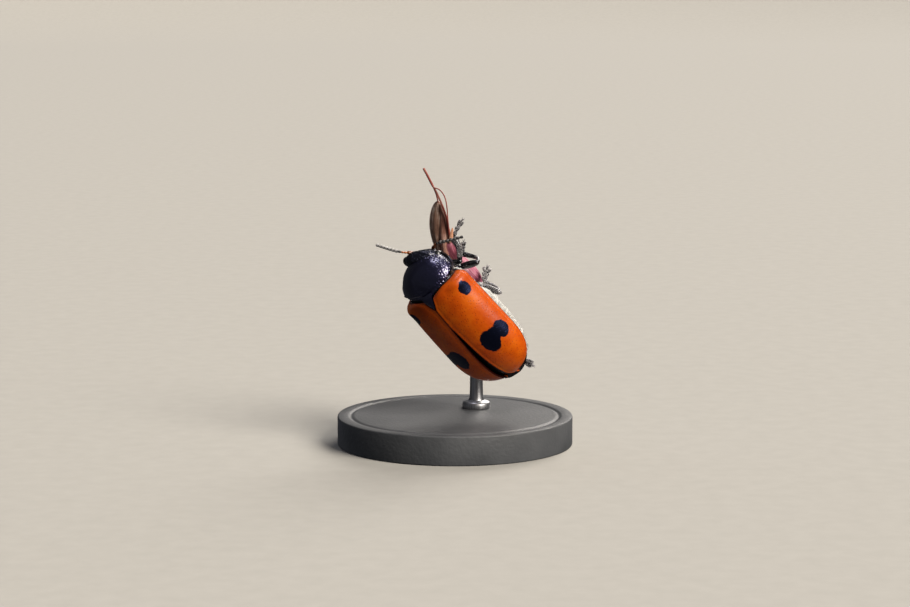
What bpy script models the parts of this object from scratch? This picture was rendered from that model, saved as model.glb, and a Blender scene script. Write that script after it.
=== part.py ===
"""A four-spotted leaf beetle gripping a grass spikelet, held by a plain display stand.

The beetle is laid out in its own body frame, in metres: X forward, Y to its left, Z out of
its back, with the origin at the middle of the wing-case base, level with the side margins.
The empty "beetle" turns that frame into the pose. The grass and the stand are laid out in
the display frame: the base stands on z = 0 with its middle at the origin, the front is -Y.
"""
import math

import bmesh
import bpy
from mathutils import Matrix, Vector

MM = 0.001
GAP = 0.03 * MM                    # left between neighbouring pieces

# Pose: where the body frame stands, and how the beetle lies when seen from the front
BODY_AT = Vector((-1.20, -1.35, 9.03)) * MM
VIEW_RISE = math.radians(8.0)      # the front view looks down by this much
HEADING = math.radians(132.4)      # head direction, anticlockwise from the right
HEAD_NEAR = math.radians(15.6)     # head end tipped towards the viewer
ROLL = math.radians(33.5)          # right side rolled towards the viewer

# Wing cases
CASE_LENGTH = 6.78 * MM
CASE_HALF_WIDTH = 2.23 * MM
CASE_HEIGHT = 1.60 * MM
CASE_SHELL = 0.52 * MM
CASE_ARCH = 2.25                   # exponent of the rounded cross-section
PARTING_START = 2.15 * MM          # behind the base, where the two cases begin to part
PARTING_HALF = 0.29 * MM           # half the opening at the tail
SCUTELLUM_HALF = 0.42 * MM
SCUTELLUM_LENGTH = 0.95 * MM

# Trunk below the wing cases
TRUNK_INSET = 0.13 * MM            # how far the flanks stand in from the case margins
WAIST_INSET = 0.26 * MM            # how much further in they stand at the front
WAIST_START = 1.4 * MM             # behind the base, where the flanks begin to widen
WAIST_RUN = 0.8 * MM
TAIL_INSET = 0.22 * MM
TRUNK_DEPTH = 1.78 * MM
BACK_CLEARANCE = 0.10 * MM         # between the back and the inside of the wing cases
THORAX_LENGTH = 2.75 * MM
TRUNK_LENGTH = 6.95 * MM

# Prothorax, which nods down from the wing-case base
COLLAR_AT = Vector((0.14, 0.0, 0.30)) * MM
COLLAR_TURN = math.radians(3.5)    # turned to the beetle's right
COLLAR_RUN = 1.55 * MM             # side margin, from hind corner to front corner
COLLAR_DROP = math.radians(50.0)   # how steeply that margin falls
COLLAR_TILT = math.radians(45.0)   # lean of the front opening
COLLAR_HALF_WIDTH = 1.80 * MM
COLLAR_HEIGHT = 1.18 * MM
COLLAR_DEPTH = 0.90 * MM

# Head, face forward and down
HEAD_AT = Vector((1.16, -0.08, -0.90)) * MM
HEAD_NOD = math.radians(45.0)
HEAD_TURN = math.radians(20.0)     # turned to the beetle's right
HEAD_HALF_DEPTH = 0.54 * MM
HEAD_HALF_WIDTH = 1.09 * MM
HEAD_HALF_HEIGHT = 0.96 * MM
EYE_AT = Vector((0.07, 0.98, 0.21)) * MM
EYE_RADII = Vector((0.27, 0.23, 0.38)) * MM
MOUTH_AT = Vector((0.10, 0.0, -1.34)) * MM
MOUTH_RADII = Vector((0.26, 0.48, 0.34)) * MM

# Thin limbs are thickened to this in the solids
LIMB_RADIUS = 0.25 * MM

# Stand
BASE_RADIUS = 6.5 * MM
BASE_HEIGHT = 1.6 * MM
ROD_RADIUS = 0.4 * MM
ROD_AT = Vector((1.20, 2.10, 0.0)) * MM
ROD_TOP = 8.15 * MM


# ---------------------------------------------------------------- scene and materials

def clear_scene():
    """Start from an empty scene."""
    for thing in list(bpy.data.objects):
        bpy.data.objects.remove(thing, do_unlink=True)


def new_collection(name):
    collection = bpy.data.collections.new(name)
    bpy.context.scene.collection.children.link(collection)
    return collection


def material(name, colour, roughness, metallic=0.0):
    """A Principled material with a plain colour."""
    made = bpy.data.materials.new(name)
    made.use_nodes = True
    shader = made.node_tree.nodes["Principled BSDF"]
    shader.inputs["Base Color"].default_value = (*colour, 1.0)
    shader.inputs["Roughness"].default_value = roughness
    shader.inputs["Metallic"].default_value = metallic
    made.diffuse_color = (*colour, 1.0)
    return made


def pose_matrix():
    """Body frame to display frame, from the three angles seen from the front."""
    right = Vector((1.0, 0.0, 0.0))
    up = Vector((0.0, math.sin(VIEW_RISE), math.cos(VIEW_RISE)))
    near = Vector((0.0, -math.cos(VIEW_RISE), math.sin(VIEW_RISE)))
    level = math.cos(HEADING) * right + math.sin(HEADING) * up
    forward = math.cos(HEAD_NEAR) * level + math.sin(HEAD_NEAR) * near
    beside = math.sin(HEADING) * right - math.cos(HEADING) * up
    back = forward.cross(-beside)
    starboard = math.cos(ROLL) * beside + math.sin(ROLL) * back
    dorsal = math.cos(ROLL) * back - math.sin(ROLL) * beside
    turned = Matrix((forward, -starboard, dorsal)).transposed()
    return Matrix.Translation(BODY_AT) @ turned.to_4x4()


# ---------------------------------------------------------------- shape helpers

def clamp(value, low=0.0, high=1.0):
    return max(low, min(high, value))


def signed_power(value, power):
    return math.copysign(abs(value) ** power, value)


def add_mesh(name, mesh, paint, collection, parent=None):
    """Turn a bmesh into a named object with its own material."""
    bmesh.ops.remove_doubles(mesh, verts=mesh.verts, dist=1e-7)
    bmesh.ops.recalc_face_normals(mesh, faces=mesh.faces)
    data = bpy.data.meshes.new(name)
    mesh.to_mesh(data)
    mesh.free()
    data.shade_smooth()
    thing = bpy.data.objects.new(name, data)
    thing.data.materials.append(paint)
    thing.parent = parent
    collection.objects.link(thing)
    return thing


def shaped_ball(place, around, rings):
    """A closed ball of quads whose points are set by place(along, turn).

    along runs 0 to 1 from pole to pole and turn runs around the axis.
    """
    mesh = bmesh.new()
    bmesh.ops.create_uvsphere(mesh, u_segments=around, v_segments=rings, radius=1.0)
    for vertex in mesh.verts:
        along = round(math.acos(clamp(vertex.co.z, -1.0, 1.0)) / math.pi * rings) / rings
        turn = math.atan2(vertex.co.y, vertex.co.x)
        vertex.co = place(along, turn)
    return mesh


def capped(along, rings):
    """Share of the length and radius factor that give a form flat ends of one ring."""
    first = 1.0 / rings
    if along < first / 2 or along > 1.0 - first / 2:
        return round(along), 0.0
    return (along - first) / (1.0 - 2.0 * first), 1.0


def point_along(points, share):
    """Point and direction at a share of the way through a list of points, rounded at the bends."""
    last = len(points) - 1
    reach = clamp(share) * last
    index = min(int(reach), last - 1)
    part = reach - index
    before = points[max(index - 1, 0)]
    start, end = points[index], points[index + 1]
    after = points[min(index + 2, last)]
    leave = (end - before) * 0.5
    arrive = (after - start) * 0.5
    cube, square = part ** 3, part ** 2
    spot = ((2 * cube - 3 * square + 1) * start + (cube - 2 * square + part) * leave
            + (3 * square - 2 * cube) * end + (cube - square) * arrive)
    slope = ((6 * square - 6 * part) * start + (3 * square - 4 * part + 1) * leave
             + (6 * part - 6 * square) * end + (3 * square - 2 * part) * arrive)
    return spot, slope.normalized()


def limb_mesh(points, radii, around=8, rings=8):
    """A round-ended limb through points, its radius read from radii."""
    def place(along, turn):
        share = (1.0 - math.cos(along * math.pi)) / 2.0
        spot, slope = point_along(points, share)
        across = slope.cross(Vector((0.0, 0.0, 1.0))).normalized()
        rise = across.cross(slope)
        reach = share * (len(radii) - 1)
        index = min(int(reach), len(radii) - 2)
        radius = radii[index] + (radii[index + 1] - radii[index]) * (reach - index)
        radius *= clamp(math.sin(along * math.pi) * 2.2) ** 0.5
        return spot + radius * (math.cos(turn) * across + math.sin(turn) * rise)
    return shaped_ball(place, around, rings)


def boolean(thing, cutter, operation):
    step = thing.modifiers.new(operation.lower(), "BOOLEAN")
    step.operation = operation
    step.solver = "EXACT"
    step.object = cutter


def hide_cutter(thing):
    thing.hide_render = True
    thing.display_type = "WIRE"
    return thing


# ---------------------------------------------------------------- wing cases

def case_half_width(share):
    """Half-width of the closed wing cases at a share of their length."""
    shoulder = 1.0 - 0.16 * clamp((0.07 - share) / 0.07) ** 2
    sides = 0.965 + 0.035 * clamp(share / 0.6)
    tail = math.sqrt(1.0 - clamp((share - 0.60) / 0.40) ** 2.6)
    return shoulder * sides * tail


def case_height(share):
    """Height of the closed wing cases over their margins."""
    rise = clamp(share / 0.35)
    tail = math.sqrt(1.0 - clamp((share - 0.45) / 0.55) ** 2.6)
    return (0.86 + 0.14 * rise * (2.0 - rise)) * tail


def case_form(inset, below, front=0.0, rings=18, around=32):
    """The domed form of both wing cases, drawn in by inset, its floor at -below."""
    length = CASE_LENGTH - inset
    half_width = CASE_HALF_WIDTH - inset
    height = CASE_HEIGHT - inset

    def place(along, turn):
        share, size = capped(along, rings)
        share = math.sin(share * math.pi / 2.0) ** 1.15
        size *= 1.0 - 0.08 * clamp(1.0 - share / 0.02)
        x = front - share * (length + front)
        if along in (0.0, 1.0):
            return Vector((x, 0.0, 0.4 * height * case_height(share)))
        if turn < 1e-6:
            y = math.cos(turn) * half_width * case_half_width(share)
            return Vector((x, y * size, -below))
        y = signed_power(math.cos(turn), 2.0 / CASE_ARCH) * half_width * case_half_width(share)
        z = signed_power(math.sin(turn), 2.0 / CASE_ARCH) * height * case_height(share)
        return Vector((x, y * size, z * size))
    return shaped_ball(place, around, rings)


def case_plan(side, half_gap):
    """Plan outline of one wing case's side of the suture, as a tall prism."""
    outline = [
        (1.0 * MM, 4.0 * MM),
        (1.0 * MM, SCUTELLUM_HALF + half_gap),
        (0.0, SCUTELLUM_HALF + half_gap),
        (-SCUTELLUM_LENGTH, half_gap),
        (-PARTING_START, half_gap),
        (-PARTING_START - 2.6 * MM, half_gap + PARTING_HALF * 0.42),
        (-CASE_LENGTH, half_gap + PARTING_HALF),
        (-CASE_LENGTH - 1.0 * MM, half_gap + PARTING_HALF * 1.6),
        (-CASE_LENGTH - 1.0 * MM, 4.0 * MM),
    ]
    mesh = bmesh.new()
    base = [mesh.verts.new((x, side * y, -1.0 * MM)) for x, y in outline]
    face = mesh.faces.new(base)
    grown = bmesh.ops.extrude_face_region(mesh, geom=[face])
    risen = [item for item in grown["geom"] if isinstance(item, bmesh.types.BMVert)]
    bmesh.ops.translate(mesh, verts=risen, vec=(0.0, 0.0, 4.0 * MM))
    return mesh


def wing_case(name, side, paint, collection, cutters, parent):
    """One wing case: its side of the domed form, hollowed to a shell."""
    case = add_mesh(name, case_form(0.0, 0.0), paint, collection, parent)
    inside = add_mesh(name + "_inside", case_form(CASE_SHELL, 0.6 * MM, 0.3 * MM), paint, cutters, parent)
    plan = add_mesh(name + "_plan", case_plan(side, GAP / 2.0), paint, cutters, parent)
    boolean(case, hide_cutter(inside), "DIFFERENCE")
    boolean(case, hide_cutter(plan), "INTERSECT")
    return case


def scutellum_plan():
    """Triangular prism between the wing cases behind the prothorax."""
    outline = [
        (0.02 * MM, SCUTELLUM_HALF - 2.0 * GAP),
        (-SCUTELLUM_LENGTH + 4.0 * GAP, 0.0),
        (0.02 * MM, -SCUTELLUM_HALF + 2.0 * GAP),
    ]
    mesh = bmesh.new()
    face = mesh.faces.new([mesh.verts.new((x, y, 0.2 * MM)) for x, y in outline])
    grown = bmesh.ops.extrude_face_region(mesh, geom=[face])
    risen = [item for item in grown["geom"] if isinstance(item, bmesh.types.BMVert)]
    bmesh.ops.translate(mesh, verts=risen, vec=(0.0, 0.0, 3.0 * MM))
    return mesh


# ---------------------------------------------------------------- trunk

def trunk_section(x, turn, step):
    """Point of the trunk at a distance x behind the base: the back lies under the wing cases."""
    if turn > 1e-6 and turn < math.pi - 1e-6:
        turn = (turn - step) / (math.pi - 2.0 * step) * math.pi
        inset = CASE_SHELL + BACK_CLEARANCE
        share = clamp(x / (CASE_LENGTH - inset))
        half_width = max((CASE_HALF_WIDTH - inset) * case_half_width(share), 0.05 * MM)
        height = max((CASE_HEIGHT - inset) * case_height(share), 0.0)
        y = signed_power(math.cos(turn), 2.0 / CASE_ARCH) * half_width
        z = max(math.sin(turn), 0.0) ** (2.0 / CASE_ARCH) * height - GAP
        return y, z
    share = clamp(x / TRUNK_LENGTH)
    taper = math.sqrt(1.0 - clamp((share - 0.42) / 0.60) ** 1.9)
    front = 1.0 - 0.22 * clamp((0.16 - share) / 0.16) ** 2
    inset = TRUNK_INSET + TAIL_INSET * clamp((share - 0.5) / 0.4) ** 2
    inset += WAIST_INSET * (1.0 - clamp((x - WAIST_START) / WAIST_RUN))
    half_width = (CASE_HALF_WIDTH - inset) * case_half_width(share * 0.985) * front
    y = signed_power(math.cos(turn), 0.9) * half_width
    z = -abs(math.sin(turn)) ** 0.9 * TRUNK_DEPTH * taper * front - 2.0 * GAP
    return y, z


def trunk_part(start, end, rings=10, around=24):
    """The trunk between two distances behind the base."""
    def place(along, turn):
        share, size = capped(along, rings)
        x = start + (end - start) * share
        y, z = trunk_section(x, turn, 2.0 * math.pi / around)
        if size == 0.0:
            return Vector((-x, 0.0, -0.4 * MM))
        return Vector((-x, y, z))
    return shaped_ball(place, around, rings)


# ---------------------------------------------------------------- prothorax

def collar_turned(point):
    """Turn a point of the straight prothorax about its base."""
    return COLLAR_AT + Matrix.Rotation(-COLLAR_TURN, 3, "Z") @ (point - COLLAR_AT)


def collar_frame(share):
    """Centre of the margins and the upward direction of one section."""
    run = COLLAR_RUN * share
    centre = COLLAR_AT + Vector((math.cos(COLLAR_DROP), 0.0, -math.sin(COLLAR_DROP))) * run
    lean = COLLAR_TILT * share
    return centre, Vector((math.sin(lean), 0.0, math.cos(lean)))


def collar_half_width(share):
    hind = 0.06 * clamp((0.4 - share) / 0.4) ** 2
    front = 0.34 * clamp((share - 0.36) / 0.64) ** 2
    return COLLAR_HALF_WIDTH * (1.0 - hind - front)


def collar_height(share):
    hind = 0.20 * clamp((0.5 - share) / 0.5) ** 2
    front = 0.42 * clamp((share - 0.5) / 0.5) ** 2
    return COLLAR_HEIGHT * (1.0 - hind - front)


def collar_form(upper, lower, grow=0.0, rings=9, around=28):
    """The prothorax above and below its side margins, each scaled by upper and lower."""
    def place(along, turn):
        share, size = capped(along, rings)
        centre, up = collar_frame(share)
        if share == 0.0:
            centre = centre - Vector((grow, 0.0, 0.0))
        if share == 1.0:
            centre = centre + Vector((up.z, 0.0, -up.x)) * grow
        width = collar_half_width(share) + grow
        if upper == 0.0:
            width -= 0.10 * MM
        y = math.cos(turn) * width
        if turn > 1e-6:
            z = math.sin(turn) * (collar_height(share) + grow) * upper
        else:
            z = math.sin(turn) * (COLLAR_DEPTH + grow) * lower
        if size == 0.0:
            z = 0.4 * (upper * collar_height(share) - lower * COLLAR_DEPTH)
        else:
            z -= GAP if upper == 0.0 else 0.0
        return collar_turned(centre + Vector((0.0, y * size, 0.0)) + up * z)
    return shaped_ball(place, around, rings)


# ---------------------------------------------------------------- head

def head_matrix():
    """Head frame to body frame: X out of the face, Y to its left, Z to its crown."""
    nod = Matrix.Rotation(HEAD_NOD, 4, "Y")
    turn = Matrix.Rotation(-HEAD_TURN, 4, "Z")
    return Matrix.Translation(HEAD_AT) @ turn @ nod


def head_form(around=24, rings=12):
    frame = head_matrix()

    def place(along, turn):
        height = math.cos(along * math.pi)
        ring = math.sin(along * math.pi)
        narrow = 1.0 - 0.22 * clamp(-height) ** 1.5
        x = signed_power(math.cos(turn), 0.8) * ring ** 0.7 * HEAD_HALF_DEPTH
        y = signed_power(math.sin(turn), 0.8) * ring ** 0.7 * HEAD_HALF_WIDTH * narrow
        return frame @ Vector((x, y, height * HEAD_HALF_HEIGHT))
    return shaped_ball(place, around, rings)


def eye_form(side, grow=0.0):
    frame = head_matrix()
    centre = Vector((EYE_AT.x, EYE_AT.y * side, EYE_AT.z))

    def place(along, turn):
        height = math.cos(along * math.pi)
        ring = math.sin(along * math.pi)
        return frame @ (centre + Vector((
            (EYE_RADII.x + grow) * ring * math.cos(turn),
            (EYE_RADII.y + grow) * ring * math.sin(turn),
            (EYE_RADII.z + grow) * height,
        )))
    return shaped_ball(place, 12, 8)


def mouth_form():
    """The closed mandibles under the head."""
    frame = head_matrix()

    def place(along, turn):
        ring = math.sin(along * math.pi)
        return frame @ (MOUTH_AT + Vector((
            MOUTH_RADII.x * ring * math.cos(turn),
            MOUTH_RADII.y * ring * math.sin(turn),
            MOUTH_RADII.z * math.cos(along * math.pi),
        )))
    return shaped_ball(place, 12, 8)


# ---------------------------------------------------------------- limbs

def body(points):
    """Body-frame points given in millimetres as forward, left, up."""
    return [Vector(point) * MM for point in points]


# Each leg from the body outwards: femur, tibia and tarsus, as points forward, left, up
LEGS = {
    "front_right": (
        [(0.10, -1.04, -1.56), (-0.08, -1.52, -1.24)],
        [(0.10, -1.76, -1.52), (0.92, -1.86, -1.86)],
        [(1.12, -1.95, -2.05), (1.28, -2.26, -2.26), (1.42, -2.68, -2.48)],
    ),
    "front_left": (
        [(0.50, 0.90, -1.42), (0.30, 1.50, -1.66)],
        [(0.34, 1.56, -2.02), (0.92, 0.76, -2.42)],
        [(0.98, 0.66, -2.78), (0.80, 0.58, -3.02), (0.62, 0.52, -3.24)],
    ),
    "middle_right": (
        [(-0.50, -1.10, -1.82), (-0.84, -1.84, -1.72)],
        [(-0.96, -2.03, -2.04), (-0.80, -1.76, -2.36), (-0.34, -1.06, -2.66)],
        [(-0.22, -1.08, -2.98), (-0.06, -1.17, -3.14), (0.10, -1.25, -3.30)],
    ),
    "middle_left": (
        [(-0.60, 1.02, -1.92), (-0.95, 1.68, -2.08)],
        [(-1.00, 1.84, -2.40), (-0.88, 1.40, -2.70), (-0.62, 0.72, -2.82)],
        [(-0.54, 0.42, -3.02), (-0.42, 0.26, -3.16), (-0.32, 0.12, -3.30)],
    ),
    "hind_right": (
        [(-2.15, -1.04, -1.98), (-2.96, -1.64, -1.80)],
        [(-3.03, -1.73, -2.24), (-2.80, -1.36, -2.54), (-2.44, -0.94, -2.72)],
        [(-2.22, -0.98, -2.96), (-2.05, -1.14, -3.12), (-1.90, -1.32, -3.26)],
    ),
    "hind_left": (
        [(-2.15, 0.80, -2.08), (-3.72, 1.08, -2.00)],
        [(-3.80, 1.07, -1.96), (-5.00, 0.86, -1.76), (-5.96, 0.50, -1.62)],
        [(-6.26, 0.36, -1.56), (-6.94, -0.06, -1.46), (-7.56, -0.36, -1.40)],
    ),
}

ANTENNAE = {
    "right": [(1.58, -1.44, -0.84), (1.30, -2.00, -1.02), (0.94, -2.66, -1.33)],
    "left": [(2.22, 0.62, -0.87), (2.74, 1.20, -1.00), (3.25, 1.88, -1.33)],
}


def add_leg(name, parts, paint, collection, parent):
    """Femur, tibia and tarsus of one leg."""
    radii = {
        "femur": [0.26, 0.31, 0.25],
        "tibia": [0.25, 0.25, 0.27],
        "tarsus": [0.25, 0.27, 0.25],
    }
    for piece, points in zip(radii, parts):
        sizes = [radius * MM for radius in radii[piece]]
        mesh = limb_mesh(body(points), sizes, around=8, rings=7)
        add_mesh("leg_" + name + "_" + piece, mesh, paint, collection, parent)


# ---------------------------------------------------------------- perch and stand

def display(points):
    """Display-frame points given in millimetres."""
    return [Vector(point) * MM for point in points]


STALK = [(-1.69, 0.75, 15.18), (-1.18, 0.75, 14.18), (-0.75, 0.72, 13.25), (-0.46, 0.74, 12.35),
         (-0.33, 0.80, 11.35)]
SPIKELETS = {
    "brown": ([(-0.98, 1.30, 13.20), (-0.93, 1.34, 11.93), (-0.77, 1.38, 10.45)], 0.44),
    "pink": ([(-0.28, 0.92, 11.12), (0.38, 1.20, 9.90), (0.98, 1.55, 8.88), (1.20, 2.02, 8.18)], 0.46),
}


def glume_form(points, radius, side, around=12, rings=9):
    """Half of a pointed spikelet, parted lengthwise from its other half."""
    def place(along, turn):
        spot, slope = point_along(points, along)
        across = slope.cross(Vector((0.0, 1.0, 0.0))).normalized()
        outward = across.cross(slope) * side
        size = radius * math.sin(math.pi * along ** 0.85) ** 0.75
        rise = GAP * 0.7 + size * max(math.sin(turn), 0.0)
        return spot + across * math.cos(turn) * size + outward * rise
    return shaped_ball(place, around, rings)


def add_stand(paint_base, paint_rod, collection):
    mesh = bmesh.new()
    bmesh.ops.create_cone(mesh, cap_ends=True, segments=64, radius1=BASE_RADIUS,
                          radius2=BASE_RADIUS, depth=BASE_HEIGHT)
    bmesh.ops.translate(mesh, verts=mesh.verts, vec=(0.0, 0.0, BASE_HEIGHT / 2.0))
    base = add_mesh("stand_base", mesh, paint_base, collection)
    round_edge = base.modifiers.new("rounded_rim", "BEVEL")
    round_edge.width = 0.3 * MM
    round_edge.segments = 2
    round_edge.limit_method = "ANGLE"
    mesh = bmesh.new()
    length = ROD_TOP - BASE_HEIGHT - GAP
    bmesh.ops.create_cone(mesh, cap_ends=True, segments=16, radius1=ROD_RADIUS,
                          radius2=ROD_RADIUS, depth=length)
    middle = ROD_AT + Vector((0.0, 0.0, BASE_HEIGHT + GAP + length / 2.0))
    bmesh.ops.translate(mesh, verts=mesh.verts, vec=middle)
    add_mesh("stand_rod", mesh, paint_rod, collection)


# ---------------------------------------------------------------- build

def build():
    clear_scene()
    shown = new_collection("four_spotted_leaf_beetle")
    cutters = new_collection("cutters")
    orange = material("wing_case_orange", (0.80, 0.16, 0.02), 0.30)
    black = material("black_cuticle", (0.012, 0.012, 0.018), 0.25)
    eye = material("eye_black", (0.01, 0.01, 0.01), 0.15)
    feeler = material("antenna_brown_black", (0.05, 0.03, 0.02), 0.45)
    grass = material("dry_grass", (0.42, 0.20, 0.12), 0.7)
    steel = material("stand_steel", (0.60, 0.60, 0.62), 0.30, 1.0)
    grey = material("stand_grey", (0.09, 0.10, 0.11), 0.5)

    beetle = bpy.data.objects.new("beetle", None)
    shown.objects.link(beetle)
    beetle.matrix_world = pose_matrix()

    wing_case("elytron_right", -1.0, orange, shown, cutters, beetle)
    wing_case("elytron_left", 1.0, orange, shown, cutters, beetle)
    shield = add_mesh("scutellum", case_form(-0.03 * MM, 0.0), black, shown, beetle)
    plan = add_mesh("scutellum_plan", scutellum_plan(), black, cutters, beetle)
    inside = add_mesh("scutellum_inside", case_form(CASE_SHELL, 0.6 * MM, 0.3 * MM), black, cutters, beetle)
    boolean(shield, hide_cutter(inside), "DIFFERENCE")
    boolean(shield, hide_cutter(plan), "INTERSECT")

    add_mesh("thorax", trunk_part(0.12 * MM, THORAX_LENGTH), black, shown, beetle)
    add_mesh("abdomen", trunk_part(THORAX_LENGTH + GAP, TRUNK_LENGTH), black, shown, beetle)
    add_mesh("pronotum", collar_form(1.0, 0.0), black, shown, beetle)
    add_mesh("prosternum", collar_form(0.0, 1.0), black, shown, beetle)

    head = add_mesh("head", head_form(), black, shown, beetle)
    collar = add_mesh("collar_clearance", collar_form(1.0, 1.0, GAP), black, cutters, beetle)
    boolean(head, hide_cutter(collar), "DIFFERENCE")
    for name, side in (("left", 1.0), ("right", -1.0)):
        ball = add_mesh("eye_" + name, eye_form(side), eye, shown, beetle)
        boolean(ball, collar, "DIFFERENCE")
        socket = add_mesh("eye_socket_" + name, eye_form(side, GAP), eye, cutters, beetle)
        boolean(head, hide_cutter(socket), "DIFFERENCE")
        mesh = limb_mesh(body(ANTENNAE[name]), [LIMB_RADIUS] * 3, rings=10)
        add_mesh("antenna_" + name, mesh, feeler, shown, beetle)
    add_mesh("mandibles", mouth_form(), black, shown, beetle)

    for name, parts in LEGS.items():
        add_leg(name, parts, black, shown, beetle)
    stalk = limb_mesh(display(STALK), [LIMB_RADIUS] * 2, rings=12)
    add_mesh("perch_stalk", stalk, grass, shown)
    for name, (points, radius) in SPIKELETS.items():
        for side, half in ((-1.0, "front"), (1.0, "back")):
            mesh = glume_form(display(points), radius * MM, side)
            add_mesh("perch_glume_" + name + "_" + half, mesh, grass, shown)
    add_stand(grey, steel, shown)


build()
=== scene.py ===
import math

import bmesh
import bpy
import numpy as np
from mathutils import Matrix, Vector, noise


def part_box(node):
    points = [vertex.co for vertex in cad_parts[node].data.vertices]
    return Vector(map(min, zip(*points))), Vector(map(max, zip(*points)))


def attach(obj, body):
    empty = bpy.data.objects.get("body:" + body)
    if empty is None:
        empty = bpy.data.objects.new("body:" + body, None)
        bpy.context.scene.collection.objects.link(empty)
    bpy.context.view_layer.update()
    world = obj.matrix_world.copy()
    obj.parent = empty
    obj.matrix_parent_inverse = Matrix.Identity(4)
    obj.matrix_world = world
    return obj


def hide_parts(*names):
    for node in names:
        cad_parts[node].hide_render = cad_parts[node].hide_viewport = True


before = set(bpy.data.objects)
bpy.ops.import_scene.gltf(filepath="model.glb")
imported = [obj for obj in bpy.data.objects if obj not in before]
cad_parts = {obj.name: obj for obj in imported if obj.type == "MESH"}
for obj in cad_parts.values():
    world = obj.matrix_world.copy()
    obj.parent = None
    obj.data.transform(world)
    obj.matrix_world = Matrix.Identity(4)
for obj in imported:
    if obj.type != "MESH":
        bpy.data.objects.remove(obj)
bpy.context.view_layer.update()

# A four-spotted leaf beetle gripping a grass spikelet, as a life-size museum model on a stand.
# The beetle is modelled in its own body frame, in millimetres: X forward, Y to its left, Z out
# of its back, origin at the middle of the wing-case base. The grass and the stand are modelled
# in the display frame, also in millimetres. Each piece is then laid into the display frame.

MM = 0.001
MERGE = 1e-5                       # points closer than this become one

# Pose of the body frame, as it is seen from the camera's direction
BODY_AT = Vector((-1.20, -1.35, 9.03)) * MM
VIEW_RISE = math.radians(8.0)
HEADING = math.radians(132.4)
HEAD_NEAR = math.radians(15.6)
ROLL = math.radians(33.5)

# Camera, m: the point it looks at, and how far off it stands
CAMERA_AIM = Vector((0.0, 0.0, 7.8)) * MM
CAMERA_AWAY = 0.1391

# Wing cases, mm
CASE_LENGTH = 6.78
CASE_HALF_WIDTH = 2.23
CASE_HEIGHT = 1.60
CASE_ARCH = 2.25                   # exponent of the rounded cross-section
CASE_WALL = 0.12
PARTING_START = 2.15               # behind the base, where the two cases begin to part
PARTING_HALF = 0.29                # half the opening at the tail
SEAM_HALF = 0.012                  # half the closed seam
SCUTELLUM_HALF = 0.36
SCUTELLUM_LENGTH = 0.84
BASE_SLOPE = 0.30                  # how far the case bases stand back beside the scutellum
BASE_REACH = 1.25                  # and how far out that slope reaches

# Trunk below the wing cases, mm
TRUNK_INSET = 0.17
TRUNK_DEPTH = 1.76
TRUNK_LENGTH = 6.98
BREAST_LENGTH = 2.76

# Prothorax, mm
COLLAR_AT = Vector((0.12, 0.0, 0.30))
COLLAR_TURN = math.radians(3.5)
COLLAR_RUN = 1.57
COLLAR_DROP = math.radians(50.0)
COLLAR_TILT = math.radians(45.0)
COLLAR_HALF_WIDTH = 1.81
COLLAR_HEIGHT = 1.17
COLLAR_DEPTH = 0.90
COLLAR_BRIM = 0.15                 # flat rim along the side margins

# Head, mm
HEAD_AT = Vector((1.12, -0.09, -0.93))
HEAD_NOD = math.radians(45.0)
HEAD_TURN = math.radians(20.0)
HEAD_HALF = Vector((0.52, 1.07, 0.95))
EYE_AT = Vector((0.06, 0.95, 0.20))
EYE_HALF = Vector((0.27, 0.24, 0.38))

# Legs from the body outwards: femur, tibia and tarsus, as points forward, left, up
LEGS = {
    "front_right": (
        [(0.06, -0.70, -1.46), (-0.10, -1.50, -1.22)],
        [(-0.02, -1.58, -1.34), (0.46, -1.80, -1.64), (1.02, -1.82, -1.86)],
        [(1.05, -1.84, -1.89), (1.26, -2.20, -2.22), (1.43, -2.70, -2.49)],
    ),
    "front_left": (
        [(0.50, 0.90, -1.42), (0.30, 1.50, -1.66)],
        [(0.31, 1.62, -1.92), (0.62, 1.16, -2.24), (0.94, 0.72, -2.43)],
        [(0.96, 0.70, -2.47), (0.80, 0.62, -2.86), (0.58, 0.50, -3.26)],
    ),
    "middle_right": (
        [(-0.54, -0.90, -1.80), (-0.86, -1.92, -1.76)],
        [(-0.96, -2.01, -1.96), (-0.80, -1.76, -2.34), (-0.30, -1.04, -2.68)],
        [(-0.26, -1.04, -2.74), (-0.10, -1.16, -3.02), (0.12, -1.26, -3.34)],
    ),
    "middle_left": (
        [(-0.60, 1.02, -1.92), (-0.98, 1.76, -2.12)],
        [(-1.00, 1.84, -2.34), (-0.88, 1.40, -2.70), (-0.60, 0.68, -2.83)],
        [(-0.58, 0.64, -2.86), (-0.44, 0.37, -3.10), (-0.30, 0.10, -3.34)],
    ),
    "hind_right": (
        [(-2.11, -0.99, -1.94), (-3.02, -1.66, -1.84)],
        [(-3.00, -1.71, -2.04), (-2.80, -1.30, -2.44), (-2.36, -0.82, -2.66)],
        [(-2.32, -0.82, -2.71), (-2.10, -1.06, -3.00), (-1.87, -1.36, -3.28)],
    ),
    "hind_left": (
        [(-2.15, 0.80, -2.08), (-3.88, 1.10, -1.96)],
        [(-3.94, 1.07, -1.92), (-5.00, 0.86, -1.74), (-6.02, 0.48, -1.60)],
        [(-6.06, 0.46, -1.59), (-6.94, -0.08, -1.46), (-7.66, -0.40, -1.40)],
    ),
}

# Feelers: the joint where each leaves the face, in the head frame, then points of the body frame
FEELER_ROOT = Vector((0.50, 0.52, 0.08))
FEELERS = {
    "right": [(1.58, -1.44, -0.84), (1.30, -2.00, -1.02), (0.94, -2.66, -1.33)],
    "left": [(2.22, 0.62, -0.87), (2.74, 1.20, -1.00), (3.25, 1.88, -1.33)],
}


# ------------------------------------------------------------------ frames

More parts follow.
